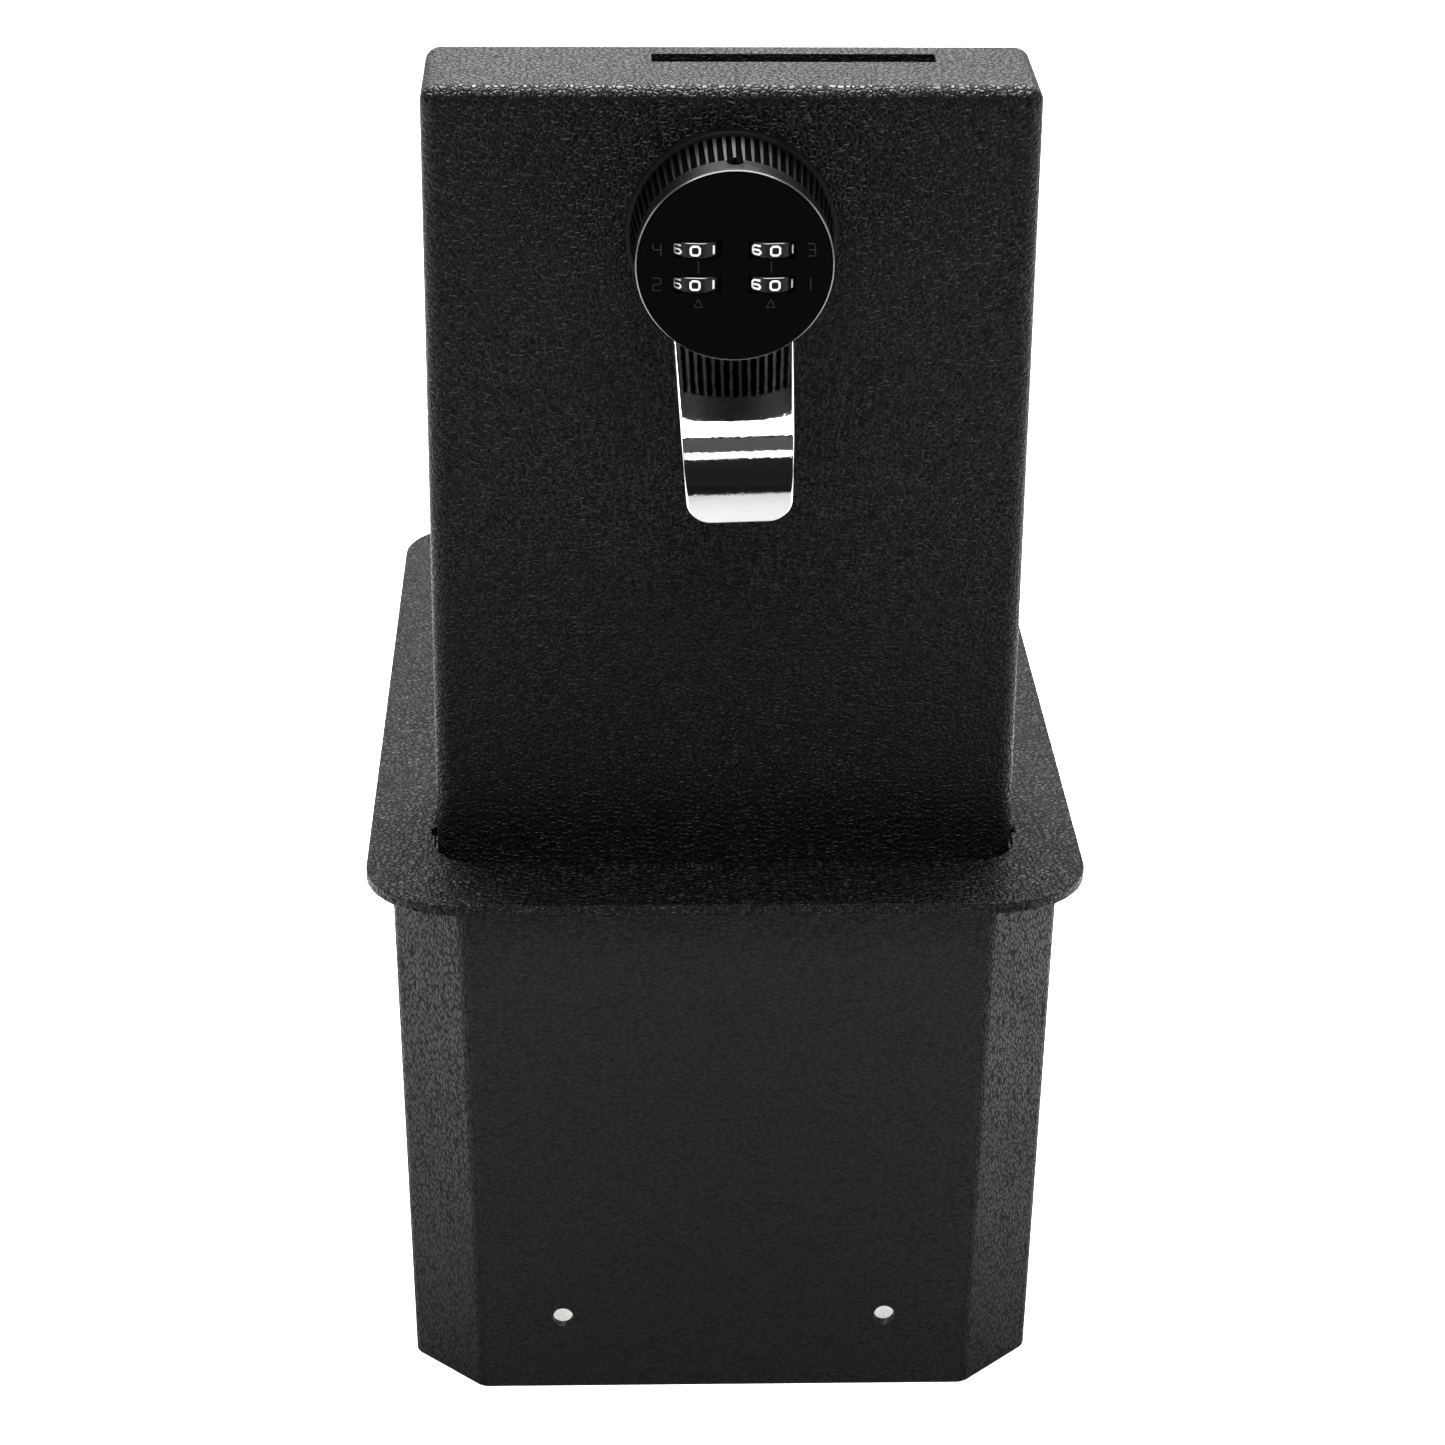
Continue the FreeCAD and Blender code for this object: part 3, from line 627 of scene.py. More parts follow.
def wall_faces(bm: Mesh, normal: Vector, at: Vector) -> list[Face]:
    """Flat faces that lie on one plane.

    Args:
        bm: the mesh.
        normal: outward direction of the plane.
        at: a point on it.

    Returns:
        The faces.
    """
    bm.normal_update()
    level = at.dot(normal)
    flat = [face for face in bm.faces if face.normal.dot(normal) > FLAT]
    return [face for face in flat if abs(face.calc_center_median().dot(normal) - level) < 10 * TOUCH]


def cut_window(bm: Mesh, normal: Vector, at: Vector, spans: tuple[Span, Span]) -> list[Edge]:
    """Opens a four-sided window in a flat wall.

    Args:
        bm: the mesh.
        normal: outward direction of the wall.
        at: a point on the wall.
        spans: axis, lowest and highest place for both directions of the window.

    Returns:
        The edges round the window.
    """
    for axis, low, high in spans:
        for place in (low, high):
            faces = wall_faces(bm, normal, at)
            edges = {edge for face in faces for edge in face.edges}
            verts = {vert for face in faces for vert in face.verts}
            bmesh.ops.bisect_plane(bm, geom=faces + list(edges) + list(verts), dist=TOUCH,
                                   plane_co=axis * place, plane_no=axis)
    inside = []
    for face in wall_faces(bm, normal, at):
        middle = face.calc_center_median()
        if all(low < middle.dot(axis) < high for axis, low, high in spans):
            inside.append(face)
    rim = [edge for face in inside for edge in face.edges
           if sum(other in inside for other in edge.link_faces) == 1]
    bmesh.ops.delete(bm, geom=inside, context="FACES_ONLY")
    return rim


def cut_round(bm: Mesh, normal: Vector, centre: Vector, axes: tuple[Vector, Vector],
              radius: float, margin: float, quarter: int = 8) -> None:
    """Opens a round hole in a flat wall.

    Args:
        bm: the mesh.
        normal: outward direction of the wall.
        centre: middle of the hole.
        axes: two directions in the wall.
        radius: radius of the hole.
        margin: flat left round the hole, inside the square that is cut first.
        quarter: segments in a quarter of the hole.
    """
    reach = radius + margin
    spans = tuple((axis, centre.dot(axis) - reach, centre.dot(axis) + reach) for axis in axes)
    rim = cut_window(bm, normal, centre, spans)
    bmesh.ops.subdivide_edges(bm, edges=rim, cuts=quarter - 1)
    limits = ((normal, 0.0), (axes[0], reach), (axes[1], reach))
    square = [edge for edge in bm.edges if edge.is_boundary and all(
        abs((vert.co - centre).dot(axis)) < limit + TOUCH for vert in edge.verts for axis, limit in limits)]
    grown = bmesh.ops.extrude_edge_only(bm, edges=square)["geom"]
    for vert in picked(grown, Vert):
        vert.co = centre + (vert.co - centre).normalized() * radius
    bmesh.ops.recalc_face_normals(bm, faces=bm.faces)


def block(low: Vector, high: Vector) -> Mesh:
    """Box between two corners.

    Args:
        low: lowest corner.
        high: highest corner.

    Returns:
        The mesh.
    """
    bm = bmesh.new()
    bmesh.ops.create_cube(bm, size=1.0)
    bmesh.ops.scale(bm, vec=high - low, verts=bm.verts)
    bmesh.ops.translate(bm, vec=(low + high) / 2, verts=bm.verts)
    return bm


def round_edges(bm: Mesh, edges: list[Edge], size: float, segments: int) -> list[Face]:
    """Rounds or, with one segment, chamfers edges, and returns the new faces."""
    return bmesh.ops.bevel(bm, geom=edges, offset=size, offset_type="OFFSET", segments=segments, profile=0.5,
                           affect="EDGES", material=-1, clamp_overlap=False)["faces"]


def round_corners(bm: Mesh, verts: list[Vert], size: float, segments: int) -> None:
    """Rounds corners of a flat face."""
    bmesh.ops.bevel(bm, geom=verts, offset=size, offset_type="OFFSET", segments=segments, profile=0.5,
                    affect="VERTICES", material=-1, clamp_overlap=False)


def upright(bm: Mesh) -> list[Edge]:
    """Edges that rise along Z, or lean a little."""
    return [edge for edge in bm.edges if abs((edge.verts[0].co - edge.verts[1].co).normalized().z) > LEANING]


def outline(bm: Mesh, points: list[Vector], closed: bool = True) -> list[Edge]:
    """Draws straight edges through points.

    Args:
        bm: the mesh.
        points: corners in order.
        closed: whether the last joins the first.

    Returns:
        The new edges.
    """
    verts = [bm.verts.new(point) for point in points]
    pairs = list(zip(verts, verts[1:])) + ([(verts[-1], verts[0])] if closed else [])
    return [bm.edges.new(pair) for pair in pairs]


def lathe(profile: list[Pair], steps: int, closed: bool = True, start: float = 0.0) -> Mesh:
    """Turns a profile about Z.

    Args:
        profile: radius and height of each corner.
        steps: segments round the axis.
        closed: whether the profile's last corner joins its first.
        start: angle from +Y at which the profile is drawn.

    Returns:
        The mesh.
    """
    bm = bmesh.new()
    points = [Vector((r * math.sin(start), r * math.cos(start), z)) for r, z in profile]
    edges = outline(bm, points, closed)
    bmesh.ops.spin(bm, geom=list(bm.verts) + edges, cent=(0, 0, 0), axis=(0, 0, 1), dvec=(0, 0, 0),
                   angle=2 * math.pi, steps=steps, use_merge=True, use_duplicate=False)
    bmesh.ops.remove_doubles(bm, verts=bm.verts, dist=TOUCH)
    bmesh.ops.recalc_face_normals(bm, faces=bm.faces)
    return bm


def carve(piece: Piece, tool: Mesh, place: Matrix, index: int = 0) -> None:
    """Takes a closed shape out of a piece, before its edges are rounded.

    Args:
        piece: the piece.
        tool: mesh of the shape in millimetres, which is freed.
        place: where the shape stands in the row frame.
        index: finish of the new faces.
    """
    bmesh.ops.transform(tool, matrix=Matrix.Scale(MM, 4) @ place, verts=tool.verts)
    for face in tool.faces:
        face.material_index = index
    mesh = to_mesh(tool, "carver")
    carver = show("carver", mesh)
    for modifier in piece.modifiers:
        modifier.show_viewport = False
    cut = piece.modifiers.new("cut", "BOOLEAN")
    cut.object = carver
    cut.solver = "EXACT"
    graph = bpy.context.evaluated_depsgraph_get()
    graph.update()
    carved = bpy.data.meshes.new_from_object(piece.evaluated_get(graph))
    bm = bmesh.new()
    bm.from_mesh(carved)
    bmesh.ops.triangulate(bm, faces=[face for face in bm.faces if len(face.verts) > 4])
    bm.to_mesh(carved)
    bm.free()
    piece.modifiers.remove(cut)
    carved.name = piece.name
    piece.data = carved
    if not piece.modifiers:
        carved.set_sharp_from_angle(angle=math.radians(SHARP_DEGREES))
    for modifier in piece.modifiers:
        modifier.show_viewport = True
    bpy.data.objects.remove(carver)
    bpy.data.meshes.remove(mesh)


def rod(radius: float, low: float, high: float) -> Mesh:
    """Closed cylinder about Z.

    Args:
        radius: its radius.
        low: its lower end.
        high: its upper end.

    Returns:
        The mesh.
    """
    return lathe([(0, low), (radius, low), (radius, high), (0, high)], 48, closed=False)


def plate_between(bm: Mesh, thickness: float) -> None:
    """Makes a plate of the flat outlines in a mesh, with holes where one lies inside another.

    Args:
        bm: the mesh.
        thickness: thickness of the plate, downwards.
    """
    bmesh.ops.triangle_fill(bm, use_beauty=True, use_dissolve=False, edges=bm.edges[:], normal=Z_AXIS)
    bmesh.ops.dissolve_limit(bm, angle_limit=0.01, verts=bm.verts[:], edges=bm.edges[:])
    grown = bmesh.ops.extrude_face_region(bm, geom=bm.faces[:])["geom"]
    bmesh.ops.translate(bm, vec=-Z_AXIS * thickness, verts=picked(grown, Vert))
    bmesh.ops.recalc_face_normals(bm, faces=bm.faces)


@dataclass
class BoxSizes:
    """Main sizes that several sub-assemblies share, in millimetres."""

    sheet: float = 2.7
    bend: float = 3.6
    height: float = 130.2
    frame_width: float = 165.0
    frame_length: float = 246.0
    front_lip: float = 22.5
    side_lip: float = 15.3
    rear_lip: float = 15.4
    lid_gap: float = 0.6
    swing_gap: float = 0.6
    lid_depth: float = 32.9
    pivot_inset: float = 17.5
    pivot_drop: float = 8.0
    open_degrees: float = 92.0
    knob_setback: float = 31.6
    cut_edge: float = 0.35

    @property
    def opening_front(self) -> float:
        """Front edge of the frame's opening."""
        return -self.frame_length / 2 + self.front_lip

    @property
    def opening_rear(self) -> float:
        """Rear edge of the frame's opening."""
        return self.frame_length / 2 - self.rear_lip

    @property
    def opening_half(self) -> float:
        """Half the width of the frame's opening."""
        return self.frame_width / 2 - self.side_lip

    @property
    def pivot(self) -> Vector:
        """Point on the lid's hinge axis."""
        return Vector((0, self.opening_front + self.pivot_inset, self.height - self.pivot_drop))

    @property
    def lid_rear(self) -> float:
        """Free end of the lid when shut, which clears the opening as it swings."""
        swing = self.opening_rear - self.pivot.y - self.swing_gap
        return self.pivot.y + math.sqrt(swing ** 2 - (self.lid_depth - self.pivot_drop) ** 2)

    def open_lid(self) -> Matrix:
        """Swings the lid from shut to open."""
        turn = Matrix.Rotation(math.radians(self.open_degrees), 4, "X")
        return Matrix.Translation(self.pivot) @ turn @ Matrix.Translation(-self.pivot)

    def on_lock(self) -> Matrix:
        """Frame of the lock on the open lid: its axis is Z and the lid's face is at zero."""
        return self.open_lid() @ Matrix.Translation((0, self.lid_rear - self.knob_setback, self.height))


@dataclass
class Tub:
    """Tapered tub with cut corners, its floor liner and the flanged frame on top."""

    box: BoxSizes
    finishes: Finishes
    top_width: float = 153.4
    taper: float = 3.0
    length: float = 235.4
    chamfer: float = 16.3
    corner_facing: Pair = (0.25, 0.97)
    fixing_spacing: float = 76.2
    fixing_d: float = 4.8
    fixing_margin: float = 1.5
    fixing_height: float = 19.0
    liner: float = 3.0
    liner_gap: float = 0.4
    liner_corner: float = 1.2
    liner_edge: float = 0.8
    frame_corner: float = 22.0
    opening_corner: float = 11.0
    front_step: float = 0.2
    notch_length: float = 4.0
    notch_depth: float = 0.9
    frame_edge: float = 0.6

    def tapered_block(self, inset: float, low: float, high: float, chamfer: float) -> Mesh:
        """Eight-sided block that follows the tub's sides.

        Args:
            inset: distance inside the tub's outer skin.
            low: height of its underside.
            high: height of its top.
            chamfer: cut at its upright corners.

        Returns:
            The mesh.
        """
        top = self.box.height - self.box.sheet
        half_y = self.length / 2 - inset
        bm = block(Vector((-0.5, -half_y, low)), Vector((0.5, half_y, high)))
        for vert in bm.verts:
            vert.co.x *= self.top_width - 2 * inset - 2 * self.taper * (top - vert.co.z) / top
        round_edges(bm, upright(bm), chamfer, 1)
        return bm

    def shell(self) -> None:
        """Builds the wall, bent round the corners, with its fixing holes."""
        bm = self.tapered_block(0.0, 0.0, self.box.height - self.box.sheet, self.chamfer)
        round_edges(bm, upright(bm), self.box.bend * math.tan(math.pi / 8), 5)
        bm.normal_update()
        ends = [face for face in bm.faces if abs(face.normal.z) > LEANING]
        bmesh.ops.delete(bm, geom=ends, context="FACES")
        for side in (-1, 1):
            centre = Vector((side * self.fixing_spacing / 2, -self.length / 2, self.fixing_height))
            cut_round(bm, -Y_AXIS, centre, (X_AXIS, Z_AXIS), self.fixing_d / 2, self.fixing_margin)
        bm.normal_update()
        low, high = self.corner_facing
        for face in bm.faces:
            face.material_index = int(low < abs(face.normal.x) < high)
        carrier = Carrier(Body.TUB.value, Slot.COAT, ("tub_shell",))
        add_piece(bm, "tub_wall", Matrix.Identity(4), self.finishes.coat_tub, carrier,
                  Trim(wall=self.box.sheet, edge=self.box.cut_edge), (self.finishes.coat_corner,))

    def floor_liner(self) -> None:
        """Builds the felt pad on the floor."""
        inset = self.box.sheet + self.liner_gap
        chamfer = self.chamfer - self.box.sheet * (2 - math.sqrt(2))
        bm = self.tapered_block(inset, self.box.sheet, self.box.sheet + self.liner, chamfer)
        round_edges(bm, upright(bm), self.liner_corner, 3)
        carrier = Carrier(Body.TUB.value, Slot.FELT, ("floor_liner",))
        pad = add_piece(bm, "liner_pad", Matrix.Identity(4), self.finishes.felt, carrier,
                        Trim(edge=self.liner_edge, edge_segments=3))

    def top_frame(self) -> None:
        """Builds the flanged frame: a plate with round corners and the stepped, notched opening."""
        box = self.box
        bm = bmesh.new()
        half = Vector((box.frame_width / 2, box.frame_length / 2, 0))
        corners = [(1, -1), (1, 1), (-1, 1), (-1, -1)]
        outer = [bm.verts.new((x * half.x, y * half.y, box.height)) for x, y in corners]
        bm.faces.new(outer)
        round_corners(bm, outer, self.frame_corner, 14)
        inner_half = box.opening_half - self.front_step
        reach = box.opening_half + self.notch_depth
        low = box.pivot.y - self.notch_length / 2
        high = box.pivot.y + self.notch_length / 2
        right = [(inner_half, box.opening_front), (inner_half, low), (reach, low), (reach, high),
                 (box.opening_half, high), (box.opening_half, box.opening_rear)]
        left = [(-x, y) for x, y in reversed(right)]
        inner = [bm.verts.new((x, y, box.height)) for x, y in right + left]
        bm.faces.new(inner)
        round_corners(bm, [inner[0], inner[-1]], self.opening_corner, 10)
        rear = [vert for vert in bm.verts if abs(vert.co.y - box.opening_rear) < TOUCH]
        round_corners(bm, rear, box.bend + box.lid_gap, 6)
        bmesh.ops.delete(bm, geom=bm.faces[:], context="FACES_ONLY")
        plate_between(bm, box.sheet)
        carrier = Carrier(Body.TUB.value, Slot.COAT, ("top_frame",))
        add_piece(bm, "frame_plate", Matrix.Identity(4), self.finishes.coat_frame, carrier,
                  Trim(edge=self.frame_edge, edge_segments=3))

    def build(self) -> None:
        """Builds every piece of the tub."""
        self.shell()
        self.floor_liner()
        self.top_frame()


@dataclass
class Lid:
    """Folded tray lid with its bent pull tab."""

    box: BoxSizes
    finishes: Finishes
    slot_rim: float = 5.6
    slot_height: float = 6.5
    slot_left: float = 17.0
    slot_right: float = 45.0
    end_facing: float = 0.25
    opening_corner: float = 11.0
    barrel_d: float = 22.0
    barrel_gap: float = 0.02
    barrel_margin: float = 2.0
    bush_d: float = 8.0
    bush_margin: float = 0.3
    base_d: float = 46.0
    tab_t: float = 1.2
    tab_edge: float = 0.5
    tab_margin: float = 1.0
    tab_foot: float = 26.5
    tab_tip_width: float = 22.6
    tab_back: float = 15.0
    tab_skew: float = 1.8
    tab_ramp_degrees: float = 43.0
    tab_ramp: float = 18.2
    tab_bend: float = 2.4
    tab_crown: float = 26.0
    tab_tip_degrees: float = 4.0
    tab_tip: float = 1.8
    tab_corner: float = 5.0
    tab_corner_steps: int = 10

    def pan(self) -> None:
        """Builds the tray: folded edges, round hinge corners, the cam's slot and the holes."""
        box = self.box
        half = box.opening_half - box.lid_gap
        front = box.opening_front + box.lid_gap
        rim = box.height - box.lid_depth
        bm = block(Vector((-half, front, rim)), Vector((half, box.lid_rear, box.height)))
        tail = [edge for edge in upright(bm) if edge.verts[0].co.y < 0]
        round_edges(bm, tail, self.opening_corner - box.lid_gap, 12)
        folds = [edge for edge in upright(bm) if edge.verts[0].co.y > 0]
        folds += [edge for edge in bm.edges
                  if all(abs(vert.co.z - box.height) < TOUCH for vert in edge.verts)]
        round_edges(bm, folds, box.bend, 6)
        bm.normal_update()
        mouth = [face for face in bm.faces if face.normal.z < -LEANING]
        bmesh.ops.delete(bm, geom=mouth, context="FACES")
        slot_low = rim + self.slot_rim
        across = (X_AXIS, -self.slot_left, self.slot_right)
        upward = (Z_AXIS, slot_low, slot_low + self.slot_height)
        cut_window(bm, Y_AXIS, Y_AXIS * box.lid_rear, (across, upward))
        lock = Vector((0, box.lid_rear - box.knob_setback, box.height))
        cut_round(bm, Z_AXIS, lock, (X_AXIS, Y_AXIS), self.barrel_d / 2, self.barrel_margin, 10)
        for side in (-1, 1):
            centre = Vector((side * half, box.pivot.y, box.pivot.z))
            cut_round(bm, X_AXIS * side, centre, (Y_AXIS, Z_AXIS), self.bush_d / 2, self.bush_margin)
        bm.normal_update()
        for face in bm.faces:
            face.material_index = int(face.normal.y > self.end_facing)
        carrier = Carrier(Body.LID.value, Slot.COAT, ("lid_pan",))
        add_piece(bm, "lid_tray", box.open_lid(), self.finishes.coat, carrier,
                  Trim(wall=box.sheet, edge=box.cut_edge), (self.finishes.coat_end,))

    def tab_turn(self) -> Matrix:
        """Skew of the tab about the lock's axis."""
        return Matrix.Rotation(math.radians(self.tab_skew), 4, "Z")

    def foot_room(self) -> Mesh:
        """Shape of the tab's foot round the barrel, to be taken out of the lock's base.

        Returns:
            The mesh.
        """
        bm = bmesh.new()
        half = self.tab_foot / 2
        low, high = -self.base_d, self.tab_back
        corners = ((-half, low), (half, low), (half, high), (-half, high))
        outline(bm, [Vector((x, y, self.tab_t)) for x, y in corners])
        bmesh.ops.create_circle(bm, cap_ends=False, radius=self.barrel_d / 2 + self.barrel_gap, segments=96,
                                matrix=Matrix.Translation((0, 0, self.tab_t)))
        plate_between(bm, self.tab_t + PAST)
        return bm

    def pull_tab(self) -> None:
        """Builds the chromed tab: a strip led along its side outline, then tapered and rounded."""
        ramp = math.radians(self.tab_ramp_degrees)
        tip = math.radians(self.tab_tip_degrees)
        bm = bmesh.new()
        half = self.tab_foot / 2
        row = outline(bm, [Vector((x, self.tab_back, self.tab_t)) for x in (-half, half)], False)

        def lead(edges: list[Edge], step: Vector) -> list[Edge]:
            """Extends the strip straight on.

            Args:
                edges: its end.
                step: the way to go.

            Returns:
                Its new end.
            """
            grown = bmesh.ops.extrude_edge_only(bm, edges=edges)["geom"]
            bmesh.ops.translate(bm, vec=step, verts=picked(grown, Vert))
            return picked(grown, Edge)

        def bend(edges: list[Edge], centre: Vector, angle: float, steps: int) -> list[Edge]:
            """Extends the strip round a bend.

            Args:
                edges: its end.
                centre: middle of the bend.
                angle: how far to turn about X.
                steps: segments in the bend.

            Returns:
                Its new end.
            """
            verts = list({vert for edge in edges for vert in edge.verts})
            spun = bmesh.ops.spin(bm, geom=edges + verts, cent=centre, axis=X_AXIS, dvec=(0, 0, 0),
                                  angle=angle, steps=steps, use_merge=False, use_duplicate=False)
            return picked(spun["geom_last"], Edge)

        row = lead(row, -Y_AXIS * (self.tab_back + self.base_d / 2))
        at = Vector((0, -self.base_d / 2, self.tab_t))
        centre = at + Z_AXIS * self.tab_bend
        row = bend(row, centre, -ramp, 8)
        heading = Vector((0, -math.cos(ramp), math.sin(ramp)))
        inward = Vector((0, -math.sin(ramp), -math.cos(ramp)))
        at = centre + inward * self.tab_bend + heading * self.tab_ramp
        row = lead(row, heading * self.tab_ramp)
        row = bend(row, at + inward * self.tab_crown, ramp + tip, 36)
        row = lead(row, Vector((0, -math.cos(tip), -math.sin(tip))) * self.tab_tip)
        bmesh.ops.remove_doubles(bm, verts=bm.verts, dist=TOUCH)
        front = min(vert.co.y for vert in bm.verts)
        for step in range(1, self.tab_corner_steps + 1):
            cut = front + self.tab_corner * (1 - math.cos(math.pi / 2 * step / self.tab_corner_steps))
            bmesh.ops.bisect_plane(bm, geom=bm.verts[:] + bm.edges[:] + bm.faces[:], dist=TOUCH,
                                   plane_co=(0, cut, 0), plane_no=Y_AXIS)
        for vert in bm.verts:
            share = max(0.0, (-self.base_d / 2 - vert.co.y) / (-self.base_d / 2 - front))
            width = half + share * (self.tab_tip_width / 2 - half)
            short = max(0.0, self.tab_corner - (vert.co.y - front))
            width -= self.tab_corner - math.sqrt(max(0.0, self.tab_corner ** 2 - short ** 2))
            vert.co.x = math.copysign(width, vert.co.x)
        bmesh.ops.recalc_face_normals(bm, faces=bm.faces)
        if sum(face.normal.z for face in bm.faces) < 0:
            bmesh.ops.reverse_faces(bm, faces=bm.faces)
        foot = Z_AXIS * self.tab_t
        cut_round(bm, Z_AXIS, foot, (X_AXIS, Y_AXIS), self.barrel_d / 2, self.tab_margin, 10)
        carrier = Carrier(Body.LID.value, Slot.CHROME, ("pull_tab",))
        add_piece(bm, "tab_strip", self.box.on_lock() @ self.tab_turn(), self.finishes.chrome, carrier,
                  Trim(self.tab_t, self.tab_edge, edge_segments=4, edge_clamped=False, sharp_degrees=60.0))

    def build(self) -> None:
        """Builds every piece of the lid."""
        self.pan()
        self.pull_tab()


class Figure(Enum):
    """Strokes of squared figures, on a grid two squares wide and two high."""

    ZERO = (((0, 0), (2, 0), (2, 2), (0, 2), (0, 0)),)
    ONE = (((1, 0), (1, 2)),)
    TWO = (((0, 2), (2, 2), (2, 1), (0, 1), (0, 0), (2, 0)),)
    THREE = (((0, 2), (2, 2), (2, 0), (0, 0)), ((0.4, 1), (2, 1)))
    FOUR = (((0, 2), (0, 1), (2, 1)), ((2, 2), (2, 0)))
    FIVE = (((2, 2), (0, 2), (0, 1), (2, 1), (2, 0), (0, 0)),)
    SIX = (((2, 2), (0, 2), (0, 0), (2, 0), (2, 1), (0, 1)),)
    SEVEN = (((0, 2), (2, 2), (2, 0)),)
    EIGHT = (((0, 0), (2, 0), (2, 2), (0, 2), (0, 0)), ((0, 1), (2, 1)))
    NINE = (((2, 1), (0, 1), (0, 2), (2, 2), (2, 0), (0, 0)),)
    TRIANGLE = (((0, 0), (2, 0), (1, 2), (0, 0)),)
    LINE = (((1, 0), (1, 2)),)


@dataclass(frozen=True)
class Stroke:
    """How a figure is drawn, in millimetres."""

    width: float
    height: float
    pen: float
    rise: float
    ease: float = 0.3

    def eased(self, points: list[Vector], closed: bool) -> list[Vector]:
        """Cuts the corners of a stroke.

        Args:
            points: corners of the stroke.
            closed: whether it ends where it starts.

        Returns:
            The points with two in place of each corner.
        """
        found = []
        for i, point in enumerate(points):
            ends = not closed and i in (0, len(points) - 1)
            if ends or not self.ease:
                found.append(point)
                continue
            for other in (points[i - 1], points[(i + 1) % len(points)]):
                step = other - point
                found.append(point + step.normalized() * min(self.ease, step.length / EASE_PART))
        return found

    def draw(self, figure: Figure) -> Mesh:
        """Draws a figure about the origin, facing +Z.

        Args:
            figure: its strokes.

        Returns:
            The mesh.
        """
        bm = bmesh.new()
        for stroke in figure.value:
            closed = stroke[0] == stroke[-1]
            points = [Vector(((x - 1) * self.width / 2, (y - 1) * self.height / 2, 0)) for x, y in stroke]
            points = self.eased(points[:-1] if closed else points, closed)
            curve = bpy.data.curves.new("stroke", "CURVE")
            curve.dimensions = "3D"
            curve.bevel_depth = self.pen / 2
            curve.bevel_resolution = 1
            curve.use_fill_caps = True
            spline = curve.splines.new("POLY")
            spline.points.add(len(points) - 1)
            for control, point in zip(spline.points, points):
                control.co = (*point, 1.0)
            spline.use_cyclic_u = closed
            holder = bpy.data.objects.new("stroke", curve)
            mesh = bpy.data.meshes.new_from_object(holder)
            bm.from_mesh(mesh)
            bpy.data.objects.remove(holder)
            bpy.data.curves.remove(curve)
            bpy.data.meshes.remove(mesh)
        bmesh.ops.scale(bm, vec=(1, 1, 2 * self.rise / self.pen), verts=bm.verts)
        return bm


def add_drawn(target: Mesh, drawn: Mesh, place: Matrix) -> None:
    """Adds a drawn figure to a mesh.

    Args:
        target: the mesh.
        drawn: the figure, which is freed.
        place: where it goes.
    """
    bmesh.ops.transform(drawn, matrix=place, verts=drawn.verts)
    mesh = to_mesh(drawn, "drawn")
    target.from_mesh(mesh)
    bpy.data.meshes.remove(mesh)


